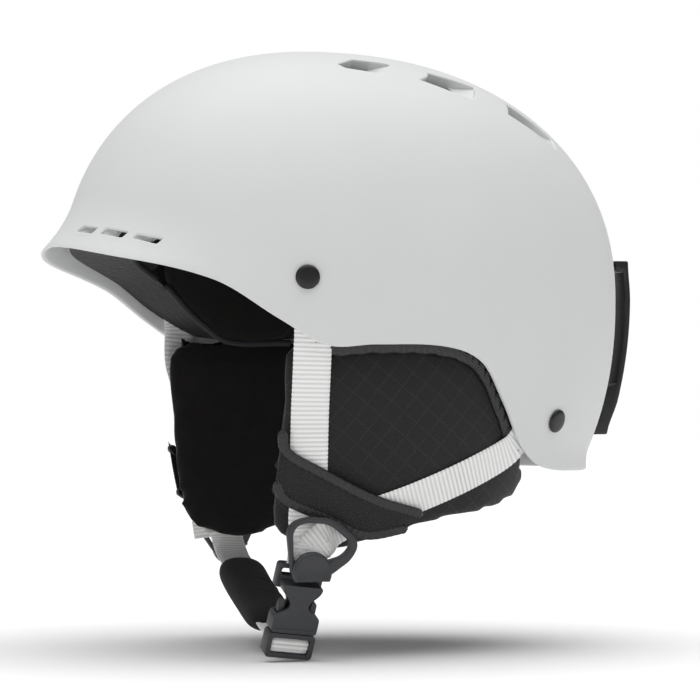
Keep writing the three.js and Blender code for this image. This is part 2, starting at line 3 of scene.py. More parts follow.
import bmesh
import bpy
from mathutils import Matrix, Vector


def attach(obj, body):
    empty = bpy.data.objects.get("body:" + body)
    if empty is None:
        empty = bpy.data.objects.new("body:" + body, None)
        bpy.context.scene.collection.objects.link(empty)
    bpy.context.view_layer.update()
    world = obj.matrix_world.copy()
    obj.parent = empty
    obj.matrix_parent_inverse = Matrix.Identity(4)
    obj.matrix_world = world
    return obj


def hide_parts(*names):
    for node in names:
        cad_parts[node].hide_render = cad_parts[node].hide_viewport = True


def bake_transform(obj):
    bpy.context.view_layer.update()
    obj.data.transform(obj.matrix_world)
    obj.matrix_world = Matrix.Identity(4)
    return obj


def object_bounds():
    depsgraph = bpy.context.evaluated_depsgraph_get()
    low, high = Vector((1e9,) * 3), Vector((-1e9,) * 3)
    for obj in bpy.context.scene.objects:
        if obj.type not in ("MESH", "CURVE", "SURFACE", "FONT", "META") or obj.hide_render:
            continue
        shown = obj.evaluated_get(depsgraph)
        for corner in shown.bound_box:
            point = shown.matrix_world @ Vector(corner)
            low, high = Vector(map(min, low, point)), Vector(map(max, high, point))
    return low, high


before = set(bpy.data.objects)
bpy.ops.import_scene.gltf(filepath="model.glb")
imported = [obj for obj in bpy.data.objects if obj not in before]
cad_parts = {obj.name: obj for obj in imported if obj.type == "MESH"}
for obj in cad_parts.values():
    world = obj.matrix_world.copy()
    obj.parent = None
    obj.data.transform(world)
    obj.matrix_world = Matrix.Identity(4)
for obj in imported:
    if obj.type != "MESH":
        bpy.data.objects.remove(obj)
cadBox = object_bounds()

# Shapes are worked out in millimetres, in the frame's own directions. Each is scaled to metres as it is made.
# Azimuth is 0 at the back of the shell, 90 over the wearer's left ear and 180 at the forehead.
scene = bpy.context.scene
mm = 0.001
print("frame loaded:", len(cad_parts), "nodes")


view = {"azimuth": 70.2, "elevation": -0.5, "distance": 1.7, "target": (0, 0.005, -0.0253), "lens": 174.9}
studio = {
    "worldGlow": 0.30, "backdrop": 1.0, "floorSize": 9.0,
    "ceiling": {"strength": 2.65, "spread": 80},
    "front": {"place": (1.1, -1.5, 0.35), "size": 1.2, "power": 1.4},
    "back": {"place": (0.8, 1.5, -0.02), "size": 1.0, "power": 0.05},
}


def makeCamera():
    a, e = math.radians(view["azimuth"]), math.radians(view["elevation"])
    back = Vector((math.sin(a) * math.cos(e), -math.cos(a) * math.cos(e), math.sin(e)))
    data = bpy.data.cameras.new("camera")
    data.lens = view["lens"]
    data.sensor_width = 36
    camera = bpy.data.objects.new("camera", data)
    camera.location = Vector(view["target"]) + back * view["distance"]
    camera.rotation_euler = back.to_track_quat("Z", "Y").to_euler()
    scene.collection.objects.link(camera)
    scene.camera = camera


def addLight(name, place, size, power):
    data = bpy.data.lights.new(name, "AREA")
    data.shape = "DISK"
    data.size = size
    data.energy = power
    lamp = bpy.data.objects.new(name, data)
    lamp.location = place
    lamp.rotation_euler = Vector(place).to_track_quat("Z", "Y").to_euler()
    scene.collection.objects.link(lamp)


def addCeiling(strength, spread):
    # a wide overhead light that reaches the whole floor evenly
    data = bpy.data.lights.new("overhead light", "SUN")
    data.energy = strength
    data.angle = math.radians(spread)
    scene.collection.objects.link(bpy.data.objects.new("overhead light", data))


def toLinear(code):
    channels = [int(code[i:i + 2], 16) / 255 for i in (1, 3, 5)]
    return [c / 12.92 if c <= 0.04045 else ((c + 0.055) / 1.055) ** 2.4 for c in channels] + [1]


def addNode(tree, kind, inputs=None, **settings):
    node = tree.nodes.new("ShaderNode" + kind)
    for key, value in settings.items():
        setattr(node, key, value)
    for key, value in (inputs or {}).items():
        if isinstance(value, bpy.types.NodeSocket):
            tree.links.new(value, node.inputs[key])
        else:
            node.inputs[key].default_value = value
    return node


def newMaterial(name, colour, roughness, **values):
    made = bpy.data.materials.new(name)
    made.use_nodes = True
    shader = made.node_tree.nodes["Principled BSDF"]
    shader.inputs["Base Color"].default_value = toLinear(colour)
    shader.inputs["Roughness"].default_value = roughness
    for key, value in values.items():
        shader.inputs[key.replace("_", " ")].default_value = value
    return made, made.node_tree, shader


def objectPlace(tree, turn=(0, 0, 0)):
    place = addNode(tree, "TexCoord").outputs["Object"]
    return addNode(tree, "Mapping", {"Vector": place, "Rotation": turn}).outputs["Vector"]


def mixColours(tree, share, first, second):
    mix = addNode(tree, "Mix", data_type="RGBA")
    tree.links.new(share, mix.inputs["Factor"])
    mix.inputs["A"].default_value = toLinear(first)
    mix.inputs["B"].default_value = toLinear(second)
    return mix.outputs["Result"]


def roughen(tree, shader, height, depth):
    bump = addNode(tree, "Bump", {"Height": height, "Distance": depth * mm})
    tree.links.new(bump.outputs["Normal"], shader.inputs["Normal"])


def ripple(tree, place, spacing, direction):
    # one wave of the texture is 2 pi / (20 * scale) metres long
    scale = 2 * math.pi / (20 * spacing * mm)
    wave = addNode(tree, "TexWave", {"Vector": place, "Scale": scale}, bands_direction=direction)
    return wave.outputs["Fac"]


def grain(tree, place, size, detail=3, roughness=0.55):
    values = {"Vector": place, "Scale": 1 / (size * mm), "Detail": detail, "Roughness": roughness}
    return addNode(tree, "TexNoise", values).outputs["Fac"]


def maths(tree, operation, first, second):
    return addNode(tree, "Math", {0: first, 1: second}, operation=operation).outputs[0]


# moulded ABS with a matt lacquer: a soft broad highlight and a very fine orange peel
def mattLacqueredAbs():
    made, tree, shader = newMaterial("matt lacquered ABS", "#DCDDDD", 0.52, IOR=1.46)
    shader.inputs["Specular IOR Level"].default_value = 0.42
    place = objectPlace(tree)
    tone = mixColours(tree, grain(tree, place, 60, 2), "#D9DADA", "#DFE0E0")
    tree.links.new(tone, shader.inputs["Base Color"])
    roughen(tree, shader, grain(tree, place, 1.6, 2), 0.02)
    return made


# expanded polystyrene, moulded from beads about 3 mm across, with painted shade: darker where the beads meet,
# in the hollows between them
def beadFoam():
    made, tree, shader = newMaterial("expanded polystyrene", "#161617", 0.72)
    place = objectPlace(tree)
    beads = addNode(tree, "TexVoronoi", {"Vector": place, "Scale": 1 / (3.2 * mm)}).outputs["Distance"]
    # painted shade: the colour darkens from each bead's centre towards the hollows where the beads meet
    tree.links.new(mixColours(tree, beads, "#202022", "#0E0E0F"), shader.inputs["Base Color"])
    roughen(tree, shader, maths(tree, "MULTIPLY", beads, -1.0), 0.35)
    return made


# brushed polyester fleece: short fibres that scatter light and hide the knit
def brushedFleece():
    made, tree, shader = newMaterial("brushed polyester fleece", "#1A1A1C", 0.95)
    shader.inputs["Sheen Weight"].default_value = 0.08
    shader.inputs["Sheen Roughness"].default_value = 0.6
    shader.inputs["Specular IOR Level"].default_value = 0.2
    place = objectPlace(tree)
    fibres = grain(tree, place, 0.9, 4, 0.7)
    patches = grain(tree, place, 9, 3)
    both = maths(tree, "ADD", maths(tree, "MULTIPLY", fibres, 0.6), maths(tree, "MULTIPLY", patches, 0.4))
    tree.links.new(mixColours(tree, both, "#080707", "#262322"), shader.inputs["Base Color"])
    roughen(tree, shader, fibres, 0.35)
    return made


# ripstop nylon on the bias: a plain weave of 1 mm, with a dotted thicker yarn every 8.5 mm
def ripstopNylon():
    made, tree, shader = newMaterial("ripstop nylon", "#151517", 0.62)
    shader.inputs["Sheen Weight"].default_value = 0.08
    shader.inputs["Specular IOR Level"].default_value = 0.35
    place = objectPlace(tree, (math.radians(38), 0, 0))
    weave = maths(tree, "MULTIPLY", ripple(tree, place, 1.0, "Y"), ripple(tree, place, 1.0, "Z"))
    yarns = []
    for across, along in (("Y", "Z"), ("Z", "Y")):
        line = maths(tree, "POWER", ripple(tree, place, 8.5, across), 60.0)
        dots = maths(tree, "POWER", ripple(tree, place, 1.4, along), 1.5)
        yarns.append(maths(tree, "MULTIPLY", line, dots))
    yarn = maths(tree, "MAXIMUM", yarns[0], yarns[1])
    both = maths(tree, "ADD", maths(tree, "MULTIPLY", yarn, 0.8), maths(tree, "MULTIPLY", weave, 0.16))
    tree.links.new(mixColours(tree, both, "#0F0F11", "#303035"), shader.inputs["Base Color"])
    roughen(tree, shader, maths(tree, "ADD", maths(tree, "MULTIPLY", weave, 0.6), yarn), 0.2)
    return made


# nylon pack cloth on the band: an open twill that reads as fine slanting lines
def packCloth():
    made, tree, shader = newMaterial("nylon pack cloth", "#1E1E20", 0.55)
    shader.inputs["Specular IOR Level"].default_value = 0.4
    place = objectPlace(tree, (math.radians(-28), 0, 0))
    weave = maths(tree, "MULTIPLY", ripple(tree, place, 1.2, "Y"), ripple(tree, place, 1.2, "Z"))
    tree.links.new(mixColours(tree, weave, "#101012", "#2B2B2F"), shader.inputs["Base Color"])
    roughen(tree, shader, weave, 0.35)
    return made


# woven nylon tape folded over a raw edge: fine ribs and a slight lustre
def bindingTape():
    made, tree, shader = newMaterial("nylon binding tape", "#1F1F22", 0.42)
    shader.inputs["Specular IOR Level"].default_value = 0.6
    place = objectPlace(tree)
    roughen(tree, shader, ripple(tree, place, 0.9, "DIAGONAL"), 0.12)
    tone = mixColours(tree, grain(tree, place, 3, 2), "#111113", "#1D1D1F")
    tree.links.new(tone, shader.inputs["Base Color"])
    return made


# ribbed polyester webbing: each pick of weft stands up as a rib, with fine warp across it
def ribbedWebbing():
    made, tree, shader = newMaterial("polyester webbing", "#F0F0EF", 0.8)
    shader.inputs["Sheen Weight"].default_value = 0.1
    shader.inputs["Specular IOR Level"].default_value = 0.3
    place = objectPlace(tree)
    warp = maths(tree, "MULTIPLY", ripple(tree, place, 0.8, "Y"), grain(tree, place, 1.5, 2))
    # painted shade: the grooves between the ribs are coloured grey, from #FEFEFD on the ribs to #C2C2C1 deep
    # in the grooves
    groove_shade = addNode(tree, "Attribute", attribute_name="groove_shade").outputs["Fac"]
    tree.links.new(mixColours(tree, groove_shade, "#FEFEFD", "#C2C2C1"), shader.inputs["Base Color"])
    roughen(tree, shader, warp, 0.12)
    return made


# acetal with a spark-eroded texture: dark grey, a dull broad highlight and a slight grit
def texturedAcetal():
    made, tree, shader = newMaterial("textured acetal", "#333437", 0.42)
    shader.inputs["Specular IOR Level"].default_value = 0.5
    place = objectPlace(tree)
    tone = mixColours(tree, grain(tree, place, 0.8, 3), "#2F3033", "#3B3C3F")
    tree.links.new(tone, shader.inputs["Base Color"])
    roughen(tree, shader, grain(tree, place, 0.7, 2), 0.05)
    return made


# glass-filled nylon for the clip: blacker and smoother, so that its long edges catch the light
def smoothNylon():
    made, tree, shader = newMaterial("moulded nylon", "#121213", 0.34)
    place = objectPlace(tree)
    tone = mixColours(tree, grain(tree, place, 12, 2), "#0F0F10", "#171719")
    tree.links.new(tone, shader.inputs["Base Color"])
    roughen(tree, shader, grain(tree, place, 2.2, 2), 0.03)
    return made


# painted steel cap, satin black
def satinPaint():
    made, tree, shader = newMaterial("satin black paint", "#101011", 0.38)
    roughen(tree, shader, grain(tree, objectPlace(tree), 1.2, 2), 0.02)
    return made


# drawn steel wire, lines along its length
def drawnSteel():
    made, tree, shader = newMaterial("drawn steel", "#A4A5A6", 0.32, Metallic=1.0)
    roughen(tree, shader, ripple(tree, objectPlace(tree), 0.4, "Z"), 0.02)
    return made


# bonded polyester thread, black, a little shinier than the cloth
def blackThread():
    made, tree, shader = newMaterial("polyester thread", "#3A3A3E", 0.4)
    roughen(tree, shader, ripple(tree, objectPlace(tree), 0.5, "DIAGONAL"), 0.08)
    return made


# soft grey knit tape along the liner's edge
def greyPiping():
    made, tree, shader = newMaterial("knitted piping", "#2E2F32", 0.85)
    roughen(tree, shader, ripple(tree, objectPlace(tree), 0.9, "DIAGONAL"), 0.15)
    return made


# painted studio floor, pale and matt
def studioFloor():
    made, tree, shader = newMaterial("painted floor", "#FCFCFC", 0.95)
    shader.inputs["Specular IOR Level"].default_value = 0.1
    roughen(tree, shader, grain(tree, objectPlace(tree), 40, 2), 0.1)
    return made


finish = {
    "shell": mattLacqueredAbs(), "foam": beadFoam(), "fleece": brushedFleece(), "ripstop": ripstopNylon(),
    "bandCloth": packCloth(), "tape": bindingTape(), "webbing": ribbedWebbing(), "acetal": texturedAcetal(),
    "nylon": smoothNylon(), "cap": satinPaint(), "steel": drawnSteel(), "thread": blackThread(),
    "piping": greyPiping(), "floor": studioFloor(),
}
print("materials made:", len(finish))


# general shape helpers
def makePiece(name, bm, finishes, body="root", nodes=(), sharp=35, riding=True):
    bmesh.ops.scale(bm, vec=(mm, mm, mm), verts=bm.verts)
    bmesh.ops.recalc_face_normals(bm, faces=bm.faces)
    mesh = bpy.data.meshes.new(name)
    bm.to_mesh(mesh)
    bm.free()
    for each in finishes:
        mesh.materials.append(finish[each])
    mesh.shade_smooth()
    mesh.set_sharp_from_angle(angle=math.radians(sharp))
    piece = bpy.data.objects.new(name, mesh)
    scene.collection.objects.link(piece)
    if riding:
        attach(piece, body)
    if nodes:
        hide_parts(*nodes)
    return piece


def sheetOf(around, along, place, groove_shade=None):
    # a grid whose two directions run from 0 to 1, each vertex put where place says
    bm = bmesh.new()
    bmesh.ops.create_grid(bm, x_segments=around, y_segments=along, size=0.5)
    # an optional value per vertex, kept as an attribute that carries painted shade into the webbing's grooves
    layer = bm.verts.layers.float.new("groove_shade") if groove_shade else None
    for v in bm.verts:
        if groove_shade:
            v[layer] = groove_shade(v.co.y + 0.5)
        v.co = place(v.co.x + 0.5, v.co.y + 0.5)
    bmesh.ops.remove_doubles(bm, verts=bm.verts, dist=1e-4)
    bmesh.ops.holes_fill(bm, edges=[e for e in bm.edges if e.is_boundary])
    return bm


def addTo(bm, other):
    carrier = bpy.data.meshes.new("carrier")
    other.to_mesh(carrier)
    other.free()
    bm.from_mesh(carrier)
    bpy.data.meshes.remove(carrier)
    return bm


def mirrorPiece(bm, sign):
    if sign < 0:
        bmesh.ops.scale(bm, vec=(-1, 1, 1), verts=bm.verts)
        bmesh.ops.reverse_faces(bm, faces=bm.faces)
    return bm


def looseObject(bm, name):
    mesh = bpy.data.meshes.new(name)
    bm.to_mesh(mesh)
    bm.free()
    made = bpy.data.objects.new(name, mesh)
    scene.collection.objects.link(made)
    return made


def carve(bm, cutters):
    bmesh.ops.recalc_face_normals(bm, faces=bm.faces)
    base = looseObject(bm, "base")
    tools = []
    for cutter in cutters:
        bmesh.ops.recalc_face_normals(cutter, faces=cutter.faces)
        tools.append(looseObject(cutter, "tool"))
        cut = base.modifiers.new("cut", "BOOLEAN")
        cut.object = tools[-1]
        cut.operation = "DIFFERENCE"
        cut.solver = "EXACT"
    bpy.context.view_layer.update()
    solved = base.evaluated_get(bpy.context.evaluated_depsgraph_get())
    made = bmesh.new()
    made.from_mesh(solved.to_mesh())
    solved.to_mesh_clear()
    for each in tools + [base]:
        mesh = each.data
        bpy.data.objects.remove(each)
        bpy.data.meshes.remove(mesh)
    return made


def draw(bm, faces, move):
    # draws faces out along move
    drawn = bmesh.ops.extrude_face_region(bm, geom=faces)["geom"]
    bmesh.ops.translate(bm, vec=move, verts=[v for v in drawn if isinstance(v, bmesh.types.BMVert)])


def outlined(outline, x0, x1, corner=0.0, steps=4):
    # a side view in y and z, its corners rounded, drawn out along x
    bm = bmesh.new()
    face = bm.faces.new([bm.verts.new((x0, y, z)) for y, z in outline])
    if corner:
        bmesh.ops.bevel(bm, geom=face.verts[:], affect="VERTICES", offset=corner, offset_type="OFFSET",
                        segments=steps, profile=0.5, material=-1, clamp_overlap=True)
    draw(bm, bm.faces[:], (x1 - x0, 0, 0))
    bmesh.ops.recalc_face_normals(bm, faces=bm.faces)
    return bm


def block(x0, x1, y0, y1, z0, z1):
    bm = bmesh.new()
    bmesh.ops.create_cube(bm, size=1)
    bmesh.ops.scale(bm, vec=(x1 - x0, y1 - y0, z1 - z0), verts=bm.verts)
    bmesh.ops.translate(bm, vec=((x0 + x1) / 2, (y0 + y1) / 2, (z0 + z1) / 2), verts=bm.verts)
    return bm


def rodX(radius, x0, x1, y, z):
    bm = bmesh.new()
    bmesh.ops.create_cone(bm, cap_ends=True, segments=32, radius1=radius, radius2=radius, depth=x1 - x0)
    bmesh.ops.rotate(bm, matrix=Matrix.Rotation(math.pi / 2, 3, "Y"), verts=bm.verts)
    bmesh.ops.translate(bm, vec=((x0 + x1) / 2, y, z), verts=bm.verts)
    return bm


def softenEdges(bm, width, segments=2, angle=40):
    bmesh.ops.dissolve_limit(bm, angle_limit=math.radians(1), verts=bm.verts, edges=bm.edges)
    sharp = [e for e in bm.edges if len(e.link_faces) == 2 and e.calc_face_angle(0) > math.radians(angle)]
    bmesh.ops.bevel(bm, geom=sharp, affect="EDGES", offset=width, segments=segments, profile=0.5, material=-1,
                    clamp_overlap=True)
    return bm


def spun(profile, steps=48):
    # a profile of radius and height, turned about z and closed
    bm = bmesh.new()
    verts = [bm.verts.new((r, 0, z)) for r, z in profile]
    edges = [bm.edges.new(pair) for pair in zip(verts, verts[1:])]
    bmesh.ops.spin(bm, geom=verts + edges, cent=(0, 0, 0), axis=(0, 0, 1), angle=2 * math.pi, steps=steps,
                   use_merge=True)
    bmesh.ops.remove_doubles(bm, verts=bm.verts, dist=1e-4)
    bmesh.ops.recalc_face_normals(bm, faces=bm.faces)
    return bm


def smoothstep(x, low, high):
    t = min(1, max(0, (x - low) / (high - low)))
    return t * t * (3 - 2 * t)


def lerp(a, b, t):
    return a + (b - a) * t


def pathPoint(points, t, closed=False):
    # a smooth curve through the points
    count = len(points)
    spans = count if closed else count - 1
    at = (t % 1 if closed else min(1, max(0, t))) * spans
    i = min(int(at), spans - 1)
    f = at - i
    if closed:
        p0, p1, p2, p3 = (Vector(points[(i + k) % count]) for k in (-1, 0, 1, 2))
    else:
        p1, p2 = Vector(points[i]), Vector(points[i + 1])
        p0 = Vector(points[i - 1]) if i > 0 else 2 * p1 - p2
        p3 = Vector(points[i + 2]) if i + 2 < count else 2 * p2 - p1
    return 0.5 * (2 * p1 + (p2 - p0) * f + (2 * p0 - 5 * p1 + 4 * p2 - p3) * f * f
                  + (3 * p1 - p0 - 3 * p2 + p3) * f ** 3)


def evenly(points, closed=False):
    # turns a share of the curve's length into a place on it
    samples = 400
    line = [pathPoint(points, i / samples, closed) for i in range(samples + 1)]
    lengths = [0.0]
    for a, b in zip(line, line[1:]):
        lengths.append(lengths[-1] + (b - a).length)

    def at(share):
        want = min(1, max(0, share)) * lengths[-1]
        low, high = 0, samples
        while high - low > 1:
            middle = (low + high) // 2
            low, high = (middle, high) if lengths[middle] <= want else (low, middle)
        part = (want - lengths[low]) / max(1e-9, lengths[high] - lengths[low])
        return (low + part) / samples

    return at, lengths[-1]


def cord(points, radius, up):
    # a round cord along the points
    at, length = evenly(points)
    around, along = 12, max(8, int(length / 1.5))

    def place(u, v):
        t = at(v)
        here = pathPoint(points, t)
        ahead = (pathPoint(points, t + 0.002) - pathPoint(points, t - 0.002)).normalized()
        side = ahead.cross(up).normalized()
        face = side.cross(ahead)
        a = 2 * math.pi * u
        return here + (side * math.cos(a) + face * math.sin(a)) * radius

    return sheetOf(around, along, place)


# the dome: the shell's outer surface, as in the CAD
dome = {
    "halfWidth": 114.6, "front": 123.6, "rear": 156.4, "crown": 122.3, "lower": 158.6, "centreY": -16.5,
    "planPower": 2.15, "frontPower": 2.275, "rearPower": 2.202,
}
brim = {"reach": 10, "rise": 25, "start": 108, "full": 160}
rearLip = {"reach": 3.5, "rise": 11, "start": 62, "full": 30}
rimKnots = [(0, -83.4), (30, -83.4), (43, -80.5), (51, -69.5), (58, -50), (65, -31), (75, -23.4), (93, -22.4),
            (105, -22.8), (116, -10.5), (130, 7.5), (152, 18.5), (180, 25)]
foamKnots = [(0, -72), (30, -71), (42, -60), (53, -34), (62, -20), (80, -18.6), (103, -17.5), (116, -5.5),
             (130, 10.2), (152, 21), (180, 27)]


def through(knots, at):
    last = len(knots) - 1

    def slope(i):
        if i in (0, last):
            return 0
        return (knots[i + 1][1] - knots[i - 1][1]) / (knots[i + 1][0] - knots[i - 1][0])

    i = 0
    while i < last - 1 and at > knots[i + 1][0]:
        i += 1
    span = knots[i + 1][0] - knots[i][0]
    t = min(1, max(0, (at - knots[i][0]) / span))
    rise = knots[i + 1][1] - knots[i][1]
    m0, m1 = slope(i) * span, slope(i + 1) * span
    return knots[i][1] + t * (m0 + t * (3 * rise - 2 * m0 - m1 + t * (m0 + m1 - 2 * rise)))


def fold(azimuth):
    return abs((azimuth + 540) % 360 - 180)


def rimHeight(azimuth):
    return through(rimKnots, fold(azimuth))


def foamHeight(azimuth):
    return through(foamKnots, fold(azimuth))


def domePower(azimuth):
    return 2 / lerp(dome["frontPower"], dome["rearPower"], (1 + math.cos(math.radians(azimuth))) / 2)


def domePoint(azimuth, polar, inset=0.0):
    s, c = math.sin(math.radians(azimuth)), math.cos(math.radians(azimuth))
    up, out = math.cos(math.radians(polar)), math.sin(math.radians(polar))
    power = domePower(azimuth)
    depth = (dome["rear"] if c > 0 else dome["front"]) - inset
    plan = dome["planPower"]
    reach = 1 / (abs(s / (dome["halfWidth"] - inset)) ** plan + abs(c / depth) ** plan) ** (1 / plan)
    radius = abs(out) ** power * reach
    high = dome["crown"] - inset if up > 0 else dome["lower"]
    return Vector((radius * s, dome["centreY"] + radius * c, high * math.copysign(abs(up) ** power, up)))


def polarAt(azimuth, height, inset=0.0):
    high = dome["crown"] - inset if height > 0 else dome["lower"]
    share = (abs(height) / high) ** (1 / domePower(azimuth))
    polar = math.degrees(math.acos(min(share, 1)))
    return polar if height > 0 else 180 - polar


def domeNormal(azimuth, polar):
    here = domePoint(azimuth, polar)
    along = domePoint(azimuth + 0.2, polar) - here
    down = domePoint(azimuth, polar + 0.2) - here
    return along.cross(down).normalized()


def flare(azimuth, height):
    side = fold(azimuth)
    above = height - rimHeight(azimuth)
    front = smoothstep(side, brim["start"], brim["full"]) * max(0, 1 - above / brim["rise"]) ** 2
    behind = 1 - smoothstep(side, rearLip["full"], rearLip["start"])
    rear = behind * max(0, 1 - above / rearLip["rise"]) ** 2
    return brim["reach"] * front + rearLip["reach"] * rear


def shellPoint(azimuth, share, inset, rim, flared):
    point = domePoint(azimuth, share * polarAt(azimuth, rim(azimuth), inset), inset)
    out = Vector((point.x, point.y - dome["centreY"], 0))
    if flared and out.length > 1:
        point += out.normalized() * flare(azimuth, point.z)
    return point


# shell and foam: one flat sheet is cut in azimuth and share of the way down, then bent over the dome
vents = {
    "thickness": 2.6, "corner": 1.5, "fillet": 0.9, "depth": 4.6,
    # corners of each opening on the wearer's left, from the end with the ramp, then how far the ramp goes
    "front": [
        [(36.8, -132.1, 32.7), (21.2, -135.7, 34.2), (17.0, -136.8, 30.5), (34.0, -133.6, 28.6)],
        [(57.3, -123.6, 29.9), (41.3, -130.6, 32.5), (38.8, -132.1, 28.6), (54.8, -125.7, 25.9)],
        [(74.2, -112.4, 26.1), (61.0, -121.6, 28.9), (59.4, -123.0, 25.8), (72.0, -114.8, 22.4)],
    ],
    "top": [
        [(51.3, -20.8, 112.8), (41.8, -9.3, 116.3), (43.6, 6.7, 114.7), (45.5, 10.2, 113.7),
         (60.5, -0.9, 107.6), (56.8, -18, 110.2)],
        [(60.3, 18.4, 105.5), (46, 28.4, 110.6), (44.1, 54.5, 103.9), (64.4, 45.8, 95.8), (64.5, 38.8, 98.1)],
        [(44.3, 70.1, 96.9), (61, 64.8, 89.9), (57.5, 93, 72.5), (47.8, 94, 79)],
    ],
}
clipSlot = [(-9, -66), (9, -66), (9, -57), (-9, -57)]
hingeSlot = [(-11, 12.9), (11, 12.9), (11, 22.1), (-11, 22.1)]


def onSheet(point, rim):
    azimuth = math.degrees(math.atan2(point[0], point[1] - dome["centreY"]))
    return azimuth, polarAt(azimuth, point[2]) / polarAt(azimuth, rim(azimuth))


def roundedLoop(corners, radius):
    loop, steps = [], 5
    for i, corner in enumerate(corners):
        corner = Vector(corner)
        before, after = Vector(corners[i - 1]) - corner, Vector(corners[(i + 1) % len(corners)]) - corner
        cut = min(radius, before.length * 0.45, after.length * 0.45)
        start, end = corner + before.normalized() * cut, corner + after.normalized() * cut
        for k in range(steps + 1):
            t = k / steps
            loop.append(start * (1 - t) ** 2 + corner * 2 * t * (1 - t) + end * t * t)
    return loop


def splitAt(loop, along, level):
    # adds a point wherever the loop crosses the ramp's lower end
    made = []
    for i, here in enumerate(loop):
        after = loop[(i + 1) % len(loop)]
        made.append(here)
        a, b = here.dot(along) - level, after.dot(along) - level
        if a * b < 0:
            made.append(here.lerp(after, a / (a - b)))
    return made


def ventOutlines():
    made = []
    for kind, share in (("front", 0.36), ("top", 0.30)):
        for corners in vents[kind]:
            points = [Vector(c) for c in corners]
            if kind == "front":
                start, end = (points[1] + points[2]) / 2, (points[0] + points[3]) / 2
            else:
                low = max(points, key=lambda p: p.y)
                high = min(points, key=lambda p: p.y)
                start, end = low, high
            along = (end - start).normalized()
            loop = roundedLoop(points, vents["corner"])
            low, high = min(p.dot(along) for p in loop), max(p.dot(along) for p in loop)
            level = lerp(low, high, share)
            loop = splitAt(loop, along, level)
            for sign in (1, -1):
                flip = Vector((sign, 1, 1))
                made.append({"loop": [p * flip for p in loop], "along": along * flip, "low": low,
                             "level": level, "centre": sum(points, Vector()) / len(points) * flip})
    for slot in (clipSlot, hingeSlot):
        corners = [(x, domePoint(0, polarAt(0, z)).y, z) for x, z in slot]
        made.append({"loop": roundedLoop(corners, 1.5), "along": None,
                     "centre": sum((Vector(c) for c in corners), Vector()) / 4})
    return made


def cutSheet(rim, columns, rows, outlines):
    bm = bmesh.new()
    bmesh.ops.create_grid(bm, x_segments=columns, y_segments=rows, size=1)
    bmesh.ops.scale(bm, vec=(180, 50, 1), verts=bm.verts)
    draw(bm, bm.faces[:], (0, 0, -2))
    cutter = bmesh.new()
    for outline in outlines:
        flat = [onSheet(p, rim) for p in outline["loop"]]
        face = cutter.faces.new([cutter.verts.new((a, s * 100 - 50, 5)) for a, s in flat])
        draw(cutter, [face], (0, 0, -12))
    made = carve(bm, [cutter])
    top = max(v.co.z for v in made.verts)
    below = [f for f in made.faces if f.calc_center_median().z < top - 0.01]
    bmesh.ops.delete(made, geom=below, context="FACES")
    return made


def bent(flat, rim, inset, flared):
    bm = flat.copy()
    for v in bm.verts:
        azimuth, share = v.co.x, (v.co.y + 50) / 100
        v.co = shellPoint(azimuth, share, inset, rim, flared)
    bmesh.ops.remove_doubles(bm, verts=bm.verts, dist=0.02)
    bmesh.ops.dissolve_degenerate(bm, dist=1e-4, edges=bm.edges)
    return bm


def edgeLoops(bm):
    # the open edges, gathered into loops
    left = {e for e in bm.edges if e.is_boundary}
    loops = []
    while left:
        edge = left.pop()
        loop, grow = [edge], [edge]
        while grow:
            for v in grow.pop().verts:
                for e in v.link_edges:
                    if e in left:
                        left.discard(e)
                        loop.append(e)
                        grow.append(e)
        loops.append(loop)
    return loops


def loopCentre(loop):
    verts = {v for e in loop for v in e.verts}
    return sum((v.co for v in verts), Vector()) / len(verts)


def extrudeLoop(bm, loop, move):
    # draws a loop of edges out once more; move gets each old vertex and gives the new one's place
    made = bmesh.ops.extrude_edge_only(bm, edges=loop)["geom"]
    edges = [e for e in made if isinstance(e, bmesh.types.BMEdge)]
    verts = [v for v in made if isinstance(v, bmesh.types.BMVert)]
    fresh = set(verts)
    partner = {}
    for v in verts:
        for e in v.link_edges:
            if e.other_vert(v) not in fresh:
                partner[v] = e.other_vert(v)
    for v in verts:
        v.co = move(partner[v])
    return [e for e in edges if e.verts[0] in fresh and e.verts[1] in fresh], partner


